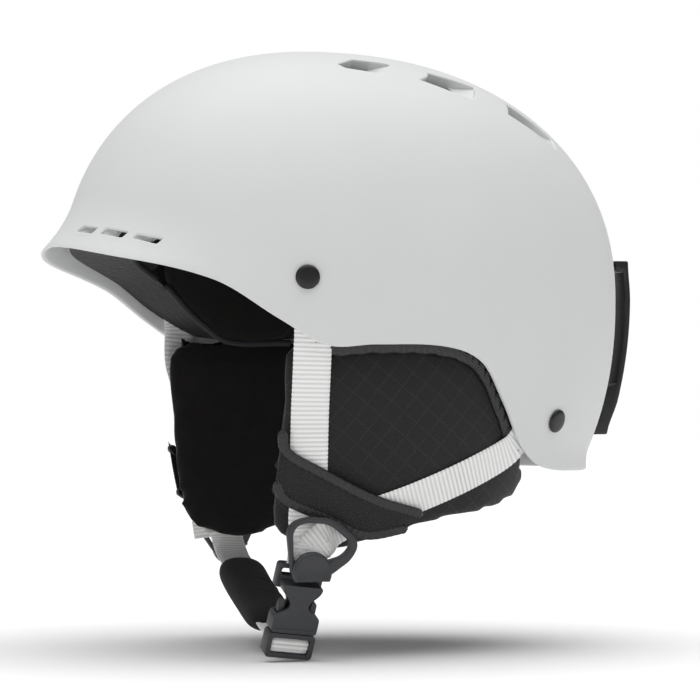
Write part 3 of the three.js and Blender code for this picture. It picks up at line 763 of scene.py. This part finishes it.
def sinkVent(bm, loop, outline):
    # rounds the edge of an opening over, takes its wall down, and lays the ramp across one end
    centre = outline["centre"]
    azimuth = math.degrees(math.atan2(centre.x, centre.y - dome["centreY"]))
    normal = domeNormal(azimuth, polarAt(azimuth, centre.z))
    middle = loopCentre(loop)
    inward, start = {}, {}
    for v in {v for e in loop for v in e.verts}:
        ends = [e.other_vert(v).co for e in v.link_edges if e in loop]
        side = (ends[1] - ends[0]).normalized().cross(normal).normalized()
        inward[v] = side if side.dot(middle - v.co) > 0 else -side
        start[v] = v.co.copy()
    ramp = outline["along"] is not None
    depthAt = {}
    for v, at in start.items():
        share = 1.0
        if ramp:
            run = at.dot(outline["along"]) - outline["low"]
            share = min(1, max(0.04, run / (outline["level"] - outline["low"])))
        depthAt[v] = lerp(vents["fillet"], vents["depth"], share)
    steps = [(math.sin(a), 1 - math.cos(a)) for a in (math.pi / 8, math.pi / 4, 3 * math.pi / 8, math.pi / 2)]
    radius = vents["fillet"]
    for across, down in steps:
        loop, partner = extrudeLoop(bm, loop, lambda old: start[old] + inward[old] * across * radius
                                    - normal * down * radius)
        for table in (inward, start, depthAt):
            table.update({new: table[old] for new, old in partner.items()})
    loop, partner = extrudeLoop(bm, loop, lambda old: start[old] + inward[old] * radius
                                - normal * depthAt[old])
    for table in (inward, start, depthAt):
        table.update({new: table[old] for new, old in partner.items()})
    if ramp:
        full = vents["depth"] - 1e-3
        edge = [v for v in partner if depthAt[v] < full]
        shallow = set(edge)
        corners = [v for v in partner if depthAt[v] >= full
                   and any(e.other_vert(v) in shallow for e in v.link_edges if e in loop)]
        if len(corners) == 2:
            floor = [e for e in loop if e.verts[0] in shallow or e.verts[1] in shallow]
            closing = bm.edges.new(corners)
            bmesh.ops.contextual_create(bm, geom=floor + [closing])
            loop = [e for e in loop if e not in floor] + [closing]
    loop, partner = extrudeLoop(bm, loop, lambda old: old.co - normal * 1.3)
    return loop


def joinLoops(bm, weldOver=100000):
    # pairs each open loop with the nearest one on the other face and joins the two; the longest are welded
    loops = edgeLoops(bm)
    while loops:
        loop = loops.pop()
        centre = loopCentre(loop)
        mate = min(loops, key=lambda o: (abs(len(o) - len(loop)) > 60, (loopCentre(o) - centre).length))
        loops.remove(mate)
        if len(loop) > weldOver:
            weld = {v for e in loop + mate for v in e.verts}
            bmesh.ops.remove_doubles(bm, verts=list(weld), dist=0.05)
        else:
            bmesh.ops.bridge_loops(bm, edges=loop + mate)


def makeShell(outlines):
    flat = cutSheet(rimHeight, 288, 84, outlines)
    outer = bent(flat, rimHeight, 0, True)
    loops = sorted(edgeLoops(outer), key=len)
    rimLoop = loops.pop()
    bottoms = []
    for loop in loops:
        centre = loopCentre(loop)
        outline = min(outlines, key=lambda o: (o["centre"] - centre).length)
        bottoms.append(sinkVent(outer, loop, outline))
    # the rim turns over in a half round to the inner face
    thick = vents["thickness"]
    where = {v: math.degrees(math.atan2(v.co.x, v.co.y - dome["centreY"])) for e in rimLoop for v in e.verts}
    for k in range(1, 7):
        turn = math.pi * k / 6
        inset, drop = thick / 2 * (1 - math.cos(turn)), thick / 2 * math.sin(turn)

        def rolled(old):
            azimuth = where[old]
            point = shellPoint(azimuth, 1, inset, rimHeight, True)
            above = shellPoint(azimuth, 0.985, inset, rimHeight, True)
            return point + (point - above).normalized() * drop

        rimLoop, partner = extrudeLoop(outer, rimLoop, rolled)
        where.update({new: where[old] for new, old in partner.items()})
    inner = bent(flat, rimHeight, thick, True)
    bmesh.ops.reverse_faces(inner, faces=inner.faces)
    flat.free()
    addTo(outer, inner)
    joinLoops(outer, weldOver=250)
    return makePiece("shell_visual", outer, ["shell"], nodes=["shell"], sharp=32)


def makeFoam(outlines):
    flat = cutSheet(foamHeight, 144, 44, outlines[:-2])
    outer = bent(flat, foamHeight, 3.4, False)
    inner = bent(flat, foamHeight, 29.8, False)
    bmesh.ops.reverse_faces(inner, faces=inner.faces)
    flat.free()
    addTo(outer, inner)
    joinLoops(outer)
    return makePiece("foam_visual", outer, ["foam"], nodes=["eps_liner"], sharp=30)


makeCamera()
addCeiling(**studio["ceiling"])
addLight("front softbox", **studio["front"])
addLight("back softbox", **studio["back"])
world = bpy.data.worlds.new("studio")
world.use_nodes = True
scene.world = world
tree = world.node_tree
ray = addNode(tree, "LightPath").outputs["Is Camera Ray"]
strengths = {"Factor": ray, "A": studio["worldGlow"], "B": studio["backdrop"]}
glow = addNode(tree, "Mix", strengths, data_type="FLOAT")
tree.links.new(glow.outputs["Result"], tree.nodes["Background"].inputs["Strength"])
tree.nodes["Background"].inputs["Color"].default_value = (1, 1, 1, 1)
scene.view_settings.view_transform = "Standard"

floorBm = bmesh.new()
bmesh.ops.create_grid(floorBm, x_segments=4, y_segments=4, size=studio["floorSize"] / 2)
bmesh.ops.translate(floorBm, vec=(0, 0, cadBox[0][2] - 0.0005), verts=floorBm.verts)
floor = looseObject(floorBm, "floor")
floor.data.materials.append(finish["floor"])
print("studio ready")

outlines = ventOutlines()
makeShell(outlines)
makeFoam(outlines)
print("shell and foam made")


# soft pieces
def applied(piece):
    # what the piece's modifiers make of it, kept as its mesh
    bpy.context.view_layer.update()
    solved = piece.evaluated_get(bpy.context.evaluated_depsgraph_get())
    mesh = bpy.data.meshes.new_from_object(solved)
    piece.modifiers.clear()
    piece.data = mesh
    return mesh


def puff(piece, cap):
    # cloth under a little air: the faces swell and pucker, no point moving further than cap
    voxel, pressure, frames = 4.0, 4.0, 20
    finishes = list(piece.data.materials)
    remesh = piece.modifiers.new("remesh", "REMESH")
    remesh.mode = "VOXEL"
    remesh.voxel_size = voxel * mm
    applied(piece)
    start = [v.co.copy() for v in piece.data.vertices]
    cloth = piece.modifiers.new("cloth", "CLOTH")
    cloth.settings.use_pressure = True
    cloth.settings.uniform_pressure_force = pressure
    cloth.settings.effector_weights.gravity = 0
    for i in range(1, frames + 1):
        scene.frame_set(i)
    applied(piece)
    for v, was in zip(piece.data.vertices, start):
        move = v.co - was
        if move.length > cap * mm:
            v.co = was + move.normalized() * cap * mm
    scene.frame_set(1)
    smooth = piece.modifiers.new("smooth", "SUBSURF")
    smooth.levels = smooth.render_levels = 1
    applied(piece)
    piece.data.materials.clear()
    for each in finishes:
        piece.data.materials.append(each)
    piece.data.shade_smooth()


# the buckle's weight pulls the left parts forward, and the chin pad turns the right slider back
sides = {
    "left": {"sign": 1, "swing": 0, "exitZ": -106.8, "slider": (93.2, -44, -107), "turn": 0, "ahead": 3.4,
             "strapY": -51, "bandFrom": 0.0},
    "right": {"sign": -1, "swing": 2.6, "exitZ": -112, "slider": (96.3, -33, -104.5), "turn": 30, "ahead": 7,
              "strapY": -44.5, "bandFrom": 0.2},
}
earPad = {
    "thickness": 14.0, "pivot": (-10, -21), "centre": (-2, -66), "ease": 1.03,
    "turnFrom": 35, "turnRate": 0.0055,
    "outline": [(-59, -25), (-61.5, -55), (-63, -90), (-61, -109), (-50, -116), (-31, -121.5), (-11, -116.5),
                (26, -107), (52, -102), (67, -92), (68, -81), (59, -60), (48, -38), (37, -26), (18, -20.5),
                (-12, -20), (-40, -20.5)],
}


def padFace(y, z):
    # the outer face leans in towards the jaw, and turns in behind the ear
    behind = max(0, y - earPad["turnFrom"])
    return 106 - 0.0024 * (y + 10) ** 2 - 0.0024 * (z + 20) ** 2 - earPad["turnRate"] * behind ** 2


def onPad(y, z, lift=1.5):
    inwards = 2 * earPad["turnRate"] * max(0, y - earPad["turnFrom"])
    facing = Vector((1, 0.0048 * (y + 10) + inwards, 0.0048 * (z + 20)))
    return Vector((padFace(y, z) + lift, y, z)), facing.normalized()


def swung(y, z, side):
    s, c = math.sin(math.radians(side["swing"])), math.cos(math.radians(side["swing"]))
    dy, dz = y - earPad["pivot"][0], z - earPad["pivot"][1]
    low = min(1, abs(dz) / 40)
    return y + low * (dy * c - dz * s - dy), z + low * (dy * s + dz * c - dz)


def makeEarPad(name, side):
    outline = [Vector((0, *swung(y, z, side))) for y, z in earPad["outline"]]
    at, _ = evenly(outline, closed=True)
    centre = earPad["centre"]

    def place(u, v):
        edge = pathPoint(outline, at(u), closed=True)
        r = min(1, 2 * v) if v <= 0.5 else min(1, 2 * (1 - v))
        y, z = (lerp(centre[i], edge[i + 1], r * earPad["ease"]) for i in (0, 1))
        crown = (1 - r ** 5) ** 0.5
        middle = padFace(y, z) - 3.2 - 3.4 * r ** 3
        if v <= 0.5:
            return Vector((lerp(middle, padFace(y, z) - 0.4, crown), y, z))
        return Vector((lerp(middle, padFace(y, z) - earPad["thickness"], crown), y, z))

    bm = mirrorPiece(sheetOf(128, 36, place), side["sign"])
    pad = makePiece("ear_pad_" + name + "_visual", bm, ["ripstop", "fleece"], sharp=180,
                    riding=False)
    puff(pad, cap=1.2)
    for face in pad.data.polygons:
        face.material_index = 0 if face.normal.x * side["sign"] > -0.25 else 1
    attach(pad, "root")
    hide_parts("ear_pad_" + name)

    # elastic edge gathered under the rim of the shell
    def gather(u, v):
        azimuth = lerp(108, 47.5, v)
        across = -math.cos(2 * math.pi * u)
        around = math.sin(2 * math.pi * u)
        pleat = math.sin(v * 33 * 2 * math.pi)
        height = rimHeight(azimuth) - 1.6 + across * (3.9 + 0.25 * math.sin(v * 71))
        inset = 5.0 - around * (1.0 + 0.35 * pleat) - 0.5 * across
        return domePoint(azimuth, polarAt(azimuth, height), inset)

    edge = mirrorPiece(sheetOf(14, 320, gather), side["sign"])
    makePiece("ear_pad_" + name + "_gather", edge, ["tape"], sharp=180)


for name, side in sides.items():
    makeEarPad(name, side)
print("ear pads made")


# straps
webbing = {"width": 18, "thickness": 1.5, "rib": 2.15, "groove": 0.42, "scallop": 0.3}
section = [(-0.96, 0.75), (-0.6, 1), (-0.2, 1), (0.2, 1), (0.6, 1), (0.96, 0.75),
           (1, 0), (0.96, -0.75), (0.6, -1), (0.2, -1), (-0.2, -1), (-0.6, -1), (-0.96, -0.75), (-1, 0)]


def strap(stations, width=webbing["width"], thickness=webbing["thickness"]):
    path, turns = zip(*stations)
    at, length = evenly(path)
    along = int(length / webbing["rib"]) * 6

    def lumpAt(v):
        return abs(math.sin(math.pi * v * length / webbing["rib"])) ** 0.55

    def place(u, v):
        t = at(v)
        here = pathPoint(path, t)
        ahead = (pathPoint(path, t + 0.002) - pathPoint(path, t - 0.002))
        if ahead.length < 1e-6:
            ahead = pathPoint(path, min(1, t + 0.01)) - pathPoint(path, max(0, t - 0.01))
        ahead.normalize()
        across = pathPoint(turns, t).cross(ahead).normalized()
        face = ahead.cross(across)
        a, b = section[round(u * len(section)) % len(section)]
        lump = lumpAt(v)
        half = width / 2 - webbing["scallop"] * (1 - lump)
        high = thickness / 2 - webbing["groove"] * (1 - lump)
        return here + across * a * half + face * b * high

    # the groove value becomes painted shade, a grey colour laid into each groove between the ribs
    return sheetOf(len(section), along, place, groove_shade=lambda v: 1 - lumpAt(v))


def flat(x, y, z):
    return Vector((x, y, z)), Vector((1, 0, 0))


def underShell(azimuth, height):
    inset = 4.1
    polar = polarAt(azimuth, height)
    return domePoint(azimuth, polar, inset), domeNormal(azimuth, polar)


def frontStations(side):
    x, y, z = side["slider"]
    y -= side["ahead"]
    back = side["strapY"]
    return [
        underShell(109.3, -1.5), underShell(108.2, -13), onPad(-51.5, -32, 3.4), onPad(back, -55),
        onPad(back + 1, -76), onPad(lerp(back + 1, y, 0.7), side["exitZ"] + 10), onPad(y, side["exitZ"]),
        flat(x - 3.4, y, z - 7), flat(x - 2.2, y + 1, z - 13), flat(x - 3.0, y + 1.5, z - 17.5),
    ]


def rearStations(side):
    x, y, z = side["slider"]
    drop = (z + 107) * 0.3
    return [
        underShell(45.5, -63), underShell(48.5, -66), onPad(53, -75), onPad(30, -86), onPad(4, -96.5 + drop),
        onPad(y + 25, -104.5 + drop, 1.7), onPad(y + 12, z - 3, 0.6), flat(x - 2.4, y + 3, z - 8.5),
        flat(x - 2.4, y - 4, z - 14),
    ]


def addStraps(name, side):
    routes = (("front", frontStations(side), webbing["width"]), ("rear", rearStations(side), 16.5))
    for end, stations, width in routes:
        bm = mirrorPiece(strap(stations, width), side["sign"])
        piece = makePiece(end + "_strap_" + name + "_visual", bm, ["webbing"], nodes=[end + "_strap_" + name],
                          sharp=60, riding=False)
        y, z = side["slider"][1:]
        if end == "front":
            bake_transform(piece)
        else:
            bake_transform(piece)


for name, side in sides.items():
    addStraps(name, side)
print("straps made")


# the bound band across each ear pad
earBand = {
    "top": [(-64, -61.3), (-61, -72), (-43, -82.5), (-17, -95), (9, -103.5)],
    "bottom": [(-65, -90), (-59, -98.6), (-40, -107), (-20, -115), (1, -111.1)],
    "lift": 3.4, "thickness": 1.1, "tape": 4.6, "tapeThickness": 1.25, "stitch": 3.3,
}


def stitchRow(points, pitch):
    width, length, lift = 0.5, 2.1, Vector((1, 0, 0))
    at, total = evenly(points)
    bm = bmesh.new()
    for i in range(int(total / pitch)):
        t = at((i + 0.5) * pitch / total)
        here = pathPoint(points, t)
        ahead = (pathPoint(points, t + 0.005) - pathPoint(points, t - 0.005)).normalized()
        side = ahead.cross(lift).normalized()
        face = side.cross(ahead)
        turn = Matrix((ahead, side, face)).transposed().to_4x4()
        shape = Matrix.Translation(here) @ turn @ Matrix.Diagonal((length / 2, width / 2, width * 0.36, 1))
        lying = shape @ Matrix.Rotation(math.pi / 2, 4, "Y")
        bmesh.ops.create_uvsphere(bm, u_segments=8, v_segments=5, radius=1, matrix=lying)
    return bm


def makeEarBand(name, side):
    top = [Vector((0, *swung(y, z, side))) for y, z in earBand["top"]]
    bottom = [Vector((0, *swung(y, z, side))) for y, z in earBand["bottom"]]
    lift, thick = earBand["lift"], earBand["thickness"]

    def edgePoint(share, along, rise):
        along = lerp(side["bandFrom"], 1, along)
        p = pathPoint(bottom, along).lerp(pathPoint(top, along), share)
        return onPad(p.y, p.z, rise)[0]

    def place(u, v):
        share = 2 * u if u <= 0.5 else 2 * (1 - u)
        puckered = 0.35 * math.sin(v * 40 + share * 5) * (1 - abs(2 * share - 1)) * 0.4
        crown = 0.5 * (1 - (2 * share - 1) ** 2)
        end = 1.2 * max(0, v - 0.93) / 0.07
        return edgePoint(share, v, lift + crown + puckered - end + (thick if u <= 0.5 else 0.0))

    cloth = mirrorPiece(sheetOf(40, 90, place), side["sign"])
    node = "ear_band_" + name
    makePiece(node + "_visual", cloth, ["bandCloth"], nodes=[node], sharp=70)
    tapes = bmesh.new()
    rows = bmesh.new()
    for share in (0.92, 0.08):
        middle = [edgePoint(share, i / 24, lift + thick * 0.55) for i in range(25)]
        along, length = evenly(middle)

        def taped(u, v):
            t = along(v)
            here = pathPoint(middle, t)
            ahead = (pathPoint(middle, min(1, t + 0.01)) - pathPoint(middle, max(0, t - 0.01))).normalized()
            facing = onPad(here.y, here.z)[1]
            across = facing.cross(ahead).normalized()
            a = 2 * math.pi * u
            c, s = math.cos(a), math.sin(a)
            wide = math.copysign(abs(c) ** 0.35, c) * earBand["tape"] / 2
            high = math.copysign(abs(s) ** 0.6, s) * earBand["tapeThickness"]
            worn = (1 + 0.1 * math.sin(v * length * 1.9)) * smoothstep(min(v, 1 - v), -0.01, 0.02)
            return here + across * wide * smoothstep(min(v, 1 - v), -0.02, 0.03) + facing * high * worn

        addTo(tapes, sheetOf(20, 150, taped))
        line = [edgePoint(share + (0.055 if share < 0.5 else -0.055), i / 24, lift + thick * 0.55 + 1.08)
                for i in range(25)]
        addTo(rows, stitchRow(line, earBand["stitch"]))
    makePiece(node + "_tape", mirrorPiece(tapes, side["sign"]), ["tape"], sharp=70)
    makePiece(node + "_stitches", mirrorPiece(rows, side["sign"]), ["thread"], sharp=180)


for name, side in sides.items():
    makeEarBand(name, side)
print("bands made")


# comfort liner inside the foam
liner = {"outer": 30.6, "inner": 37.0, "piping": 1.7}


def liningPad(start, end, top, bottom, outer=liner["outer"], inner=liner["inner"], square=7, around=120,
              rings=26):
    middle, half = (outer + inner) / 2, (inner - outer) / 2

    def place(u, v):
        r = min(1, 2 * v) if v <= 0.5 else min(1, 2 * (1 - v))
        c, s = math.cos(2 * math.pi * u), math.sin(2 * math.pi * u)
        reach = (abs(c) ** square + abs(s) ** square) ** (-1 / square) * r
        azimuth = lerp(start, end, (c * reach + 1) / 2)
        height = lerp(bottom(azimuth), top(azimuth), (s * reach + 1) / 2)
        swell = (1 - r ** 6) ** 0.5 * half
        inset = middle - swell if v <= 0.5 else middle + swell
        return domePoint(azimuth, polarAt(azimuth, height, inset), inset)

    return sheetOf(around, rings, place)


def addLiningPad(node, bm):
    pad = makePiece(node + "_visual", bm, ["fleece"], sharp=180)
    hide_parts(node)


def foamEdge(drop):
    return lambda azimuth: foamHeight(azimuth) - drop


def level(height):
    return lambda azimuth: height


addLiningPad("brow_pad", liningPad(134, 226, level(60), foamEdge(2.5)))
addLiningPad("rear_pad", liningPad(-62, 62, level(49), level(-7)))
for name, side in sides.items():
    pad = liningPad(76.5, 131, level(51), foamEdge(2.5))
    addLiningPad("side_pad_" + name, mirrorPiece(pad, side["sign"]))


def crownPlace(u, v):
    r = min(1, 2 * v) if v <= 0.5 else min(1, 2 * (1 - v))
    azimuth = 360 * u
    swell = (1 - r ** 6) ** 0.5 * 3.1
    inset = 33.8 - swell if v <= 0.5 else 33.8 + swell
    return domePoint(azimuth, r * polarAt(azimuth, 71, inset), inset)


addLiningPad("crown_pad", sheetOf(96, 26, crownPlace))
fitBand = liningPad(-46, 46, level(-26.5), level(-49.5), 38, 40, square=6)
makePiece("fit_band_visual", fitBand, ["nylon"], body="fit_band", nodes=["fit_band"],
          sharp=50)
for name, side in sides.items():
    elastic = liningPad(47, 62, level(-30.5), level(-43.5), 38.1, 39.5, square=10, around=60, rings=10)
    piece = makePiece("fit_elastic_" + name + "_visual", mirrorPiece(elastic, side["sign"]), ["tape"],
                      nodes=["fit_elastic_" + name], sharp=50, riding=False)
    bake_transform(piece)

# piped lower edge of the pads
edges = [("brow_pad", 135.5, 224.5, 1), ("side_pad_left", 78, 129.5, 1), ("side_pad_right", 78, 129.5, -1)]
for node, start, end, sign in edges:
    points = []
    for i in range(30):
        azimuth = lerp(start, end, i / 29)
        height = foamHeight(azimuth) - 2.5
        points.append(domePoint(azimuth, polarAt(azimuth, height, 33.9), 33.9))
    bm = mirrorPiece(cord(points, liner["piping"], Vector((0, 0, 1))), sign)
    makePiece(node + "_piping", bm, ["piping"], sharp=180)
print("liner made")


# rivets
rivet = {"radius": 5.7, "height": 2.2, "shank": 1.9, "front": (109.5, 7.5), "rear": (41.5, -60)}


def makeRivet(end, name, side):
    r, h, shank = rivet["radius"], rivet["height"], rivet["shank"]
    profile = [(0, -5.8), (shank, -5.8), (shank, 0.45), (r - 0.2, 0.45), (r, 0.62), (r, 0.95),
               (r - 0.25, 1.35), (r - 0.8, 1.7), (r - 1.8, 1.98), (r - 3.2, h - 0.08), (0, h)]
    bm = spun(profile, 56)
    azimuth, height = rivet[end]
    polar = polarAt(azimuth, height)
    normal = domeNormal(azimuth, polar)
    turn = Vector((0, 0, 1)).rotation_difference(normal).to_matrix().to_4x4()
    bmesh.ops.transform(bm, matrix=Matrix.Translation(domePoint(azimuth, polar)) @ turn, verts=bm.verts)
    node = "rivet_" + end + "_" + name
    makePiece(node + "_visual", mirrorPiece(bm, side["sign"]), ["cap"], nodes=[node],
              sharp=50)


for name, side in sides.items():
    for end in ("front", "rear"):
        makeRivet(end, name, side)


# strap divider and its disc
divider = {
    "outer": [(-17, -1.5), (-9, 3), (6, 2), (19.5, -8.5), (16.5, -17), (0.5, -28), (-14.5, -26.5)],
    "inner": [(-13.6, -3.2), (-8, 0), (4.6, -1), (15.4, -9.5), (11, -15.5), (0, -18.5), (-13.4, -18.5)],
    "outerCorner": 5, "innerCorner": 3.5, "thickness": 3.2, "disc": (-5, -23.2), "foot": -27.6,
}


def makeDivider(name, side):
    x, y, z = side["slider"]
    frameBm = outlined(divider["outer"], x, x + divider["thickness"], divider["outerCorner"], 8)
    window = outlined(divider["inner"], x - 2, x + 6, divider["innerCorner"], 6)
    frameBm = softenEdges(carve(frameBm, [window]), 0.8, 3)
    discBm = spun([(0, -1.4), (9.4, -1.4), (9.75, -1.1), (9.75, -0.6), (9.55, 0.5), (9.2, 1.1), (8.7, 1.36),
                   (8.1, 1.4), (7.9, 1.25), (0, 1.32)], 72)
    bmesh.ops.rotate(discBm, matrix=Matrix.Rotation(math.pi / 2, 3, "Y"), verts=discBm.verts)
    cy, cz = divider["disc"]
    bmesh.ops.translate(discBm, vec=(x + divider["thickness"] + 1.8, cy, cz), verts=discBm.verts)
    # the disc's foot is cut flat, clear of the top of the buckle
    discBm = carve(discBm, [block(x, x + 12, -20, 10, -40, divider["foot"])])
    for bm, node in ((frameBm, "strap_divider_"), (discBm, "divider_disc_")):
        bmesh.ops.rotate(bm, matrix=Matrix.Rotation(math.radians(side["turn"]), 3, "X"), verts=bm.verts)
        bmesh.ops.translate(bm, vec=(0, y, z), verts=bm.verts)
        makePiece(node + name + "_visual", mirrorPiece(bm, side["sign"]), ["acetal"], body="chin_strap",
                  nodes=[node + name], sharp=40)


for name, side in sides.items():
    makeDivider(name, side)
print("rivets and dividers made")


# side-release buckle, in its own directions: +z up the strap from the top of the female half's face
buckle = {"tilt": -6.5, "lean": 20, "place": (92, -52.2, -135.6), "half": 11.3, "thickness": 8.6, "edge": 0.7}
buckleTurn = (Matrix.Rotation(math.radians(buckle["tilt"]), 3, "X")
              @ Matrix.Rotation(math.radians(buckle["lean"]), 3, "Y"))


def atBuckle(x, y, z):
    return buckleTurn @ Vector((x, y, z)) + Vector(buckle["place"])


def placeBuckle(bm):
    bmesh.ops.rotate(bm, matrix=buckleTurn, verts=bm.verts)
    bmesh.ops.translate(bm, vec=buckle["place"], verts=bm.verts)
    return bm


def makeFemale():
    half, thick = buckle["half"], buckle["thickness"] / 2
    face = [(-half + 1.2, 0), (half - 1.2, 0), (half - 2, -3.5), (4.6, -8.5), (4.6, -11.5), (half, -15.6),
            (half, -24), (-half, -24), (-half, -15.6), (-4.6, -11.5), (-4.6, -8.5), (-half + 2, -3.5)]
    body = outlined(face, -thick, thick, 1.7, 5)
    body = softenEdges(carve(body, [block(-2.5, 2.5, -9.9, 9.9, -30, -4.2)]), buckle["edge"], 3, 50)
    loop = outlined([(-11.6, -4.5), (11.6, -4.5), (11.6, 7.6), (-11.6, 7.6)], -8.4, -3.9, 1.6, 5)
    slot = outlined([(-9.4, 2), (9.4, 2), (9.4, 5.2), (-9.4, 5.2)], -12, 2, 1, 4)
    addTo(body, softenEdges(carve(loop, [slot]), 0.6, 3, 50))
    # raised rib along the lower block
    rib = outlined([(-half + 1.6, -22.9), (half - 1.6, -22.9), (half - 1.6, -21.9), (-half + 1.6, -21.9)],
                   thick - 0.2, thick + 0.25, 0.45, 3)
    addTo(body, softenEdges(rib, 0.15, 2, 50))
    return placeBuckle(body)


def makeMale():
    outer = outlined([(-11.6, -24.5), (11.6, -24.5), (11.6, -36.8), (-11.6, -36.8)], -4.1, 4.1, 1.8, 5)
    window = outlined([(-9.5, -26.8), (9.5, -26.8), (9.5, -34.6), (-9.5, -34.6)], -8, 8, 1.2, 4)
    pockets = [block(-2.2, 2.2, -10.4, -5.2, -26.3, -20), block(-2.2, 2.2, 5.2, 10.4, -26.3, -20)]
    body = softenEdges(carve(outer, [window] + pockets), 0.55, 3, 50)
    tongue = outlined([(-2.4, -6), (2.4, -6), (2.4, -25.5), (-2.4, -25.5)], -1.9, 1.9, 1, 4)
    addTo(body, softenEdges(tongue, 0.35, 2, 50))
    return placeBuckle(body)


def makeArm(sign):
    outline = [(6, -26), (9.4, -26), (8.6, -20), (9.4, -15), (9.4, -9.5), (7.2, -7.6), (6, -12)]
    arm = outlined([(sign * y, z) for y, z in outline], -1.8, 1.8, 0.9, 4)
    return placeBuckle(softenEdges(arm, 0.35, 2, 50))


buckleParts = [
    ("buckle_female", makeFemale(), "chin_strap"), ("buckle_male", makeMale(), "buckle_male"),
    ("buckle_arm_front", makeArm(-1), "arm_front"), ("buckle_arm_rear", makeArm(1), "arm_rear"),
]
for node, bm, body in buckleParts:
    makePiece(node + "_visual", bm, ["acetal"], body=body, nodes=[node], sharp=35)
print("buckle made")


# chin webbing and its sleeve
chinWidth = 17.5
upwards = (atBuckle(0, 0, -1) - atBuckle(0, 0, 0)).normalized()
short = [flat(91.2, -49.4, -118), flat(90.8, -49.9, -121.4), flat(90.3, -50.2, -124.5),
         flat(89.4, -50.7, -128.5)]
shortStrap = strap(short, chinWidth, 1.6)
makePiece("chin_strap_left_visual", shortStrap, ["webbing"], body="chin_strap", nodes=["chin_strap_left"],
          sharp=60)
long = [
    (Vector((-94.8, -30.5, -115)), Vector((-1, 0, 0))),
    (Vector((-91.5, -30, -123)), Vector((-0.9, 0, -0.5))),
    (Vector((-80, -31, -130.4)), Vector((-0.45, 0, -0.9))),
    (Vector((-66, -32.5, -134.6)), Vector((-0.3, 0, -1))),
    (Vector((-38, -36, -143.8)), Vector((-0.3, 0, -1))),
    (Vector((0, -41, -152.5)), Vector((-0.2, 0, -1))),
    (Vector((36, -47, -158.5)), Vector((-0.15, 0, -1))),
    (Vector((58, -52.5, -160)), Vector((-0.1, -0.1, -1))),
    (atBuckle(-6, 0, -31), upwards),
    (atBuckle(1, 0, -30.8), upwards),
]
longStrap = makePiece("chin_strap_right_visual", strap(long, chinWidth, 1.6), ["webbing"],
                      nodes=["chin_strap_right"], sharp=60, riding=False)
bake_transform(longStrap)
# the webbing comes round the buckle's bar and lies flat in its window
facing = buckleTurn @ Vector((1, 0, 0))
turnBack = [(atBuckle(x, 0, z), facing) for x, z in ((0.6, -27.2), (2.6, -28.4), (3.0, -31), (2.0, -34.4))]
makePiece("chin_strap_fold", strap(turnBack, 18.4, 1.4), ["webbing"], body="buckle_male",
          sharp=60)

chinPad = {"half": 12.4, "thick": 6.4,
           "creases": [(0.34, 0.8), (0.42, 1.3), (0.53, 0.9), (0.61, 1.4), (0.75, 0.8)]}


def sleevePlace(u, v):
    line = [p for p, _ in long[3:7]]
    t = min(1, max(0, (v - 0.03) / 0.94))
    here = pathPoint(line, t)
    ahead = (pathPoint(line, min(1, t + 0.01)) - pathPoint(line, max(0, t - 0.01))).normalized()
    across = Vector((0, 1, 0))
    face = ahead.cross(across).normalized()
    a = 2 * math.pi * u
    c, s = math.cos(a), math.sin(a)
    ends = (1 - abs(2 * t - 1) ** 9 * 0.55)
    if v < 0.03 or v > 0.97:
        ends *= max(0.12, 1 - (abs(2 * v - 1) - 0.94) / 0.06 * 0.88)
    crease = 0
    upper = smoothstep(c, -0.3, 0.8)
    for place, depth in chinPad["creases"]:
        off = t - place - 0.035 * c
        bulge = 0.35 * math.exp(-((off - 0.032) / 0.022) ** 2)
        crease += depth * upper * (math.exp(-(off / 0.013) ** 2) - bulge)
    wide = math.copysign(abs(c) ** 0.85, c) * (chinPad["half"] * ends - crease * 0.7)
    high = math.copysign(abs(s) ** 0.8, s) * (chinPad["thick"] * ends - crease * 0.5)
    return here + across * wide + face * high


sleeve = makePiece("chin_pad_visual", sheetOf(64, 190, sleevePlace), ["fleece"], body="chin_strap",
                   nodes=["chin_pad"], sharp=180)
print("chin strap made")


# goggle clip
clip = {"half": 12.5, "band": 3.2, "top": 20.5, "webUnder": 15.2, "blockTop": -44.5, "bottom": -68,
        "gap": 0.9, "axis": (141.2, 17.5), "edge": 0.8}


def clipFace(z):
    return through([(-70, 139.8), (-50, 146.3), (-25, 151.2), (0, 153), (21, 151.8)], z)


def shellBack(z):
    return domePoint(0, polarAt(0, z)).y


def makeClip():
    y, z0 = clip["axis"]
    outside = [(clipFace(z), z) for z in [lerp(clip["top"], clip["bottom"], i / 22) for i in range(23)]]
    against = [(shellBack(z) + clip["gap"], z)
               for z in [lerp(clip["bottom"], clip["blockTop"], i / 6) for i in range(7)]]
    inside = [(clipFace(z) - clip["band"], z)
              for z in [lerp(clip["blockTop"] + 2.5, clip["webUnder"], i / 14) for i in range(15)]]
    web = [(y + 3.4, clip["webUnder"]), (y + 3.4, clip["top"])]
    body = outlined(outside + against + inside + web, -clip["half"], clip["half"])
    softenEdges(body, clip["edge"], 3, 30)
    tongue = block(-6.6, 6.6, y, y + 5, 15.6, 19.4)
    hook = block(-8, 8, 121, shellBack(-62) + 3, -64, -60)
    for part in (tongue, hook):
        addTo(body, softenEdges(part, 0.4, 2))
    addTo(body, softenEdges(rodX(2.4, -6.6, 6.6, y, z0), 0.3, 2))
    return body


makePiece("goggle_clip_visual", makeClip(), ["nylon"], body="goggle_clip", nodes=["goggle_clip"],
          sharp=32)

anchors = ["strap_anchor_" + end + "_" + name for name in sides for end in ("front", "rear")]
looks = [("goggle_clip_base", "nylon"), ("goggle_clip_pin", "steel")] + [(node, "acetal") for node in anchors]
for node, look in looks:
    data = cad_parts[node].data
    data.materials.clear()
    data.materials.append(finish[look])
print("goggle clip made")
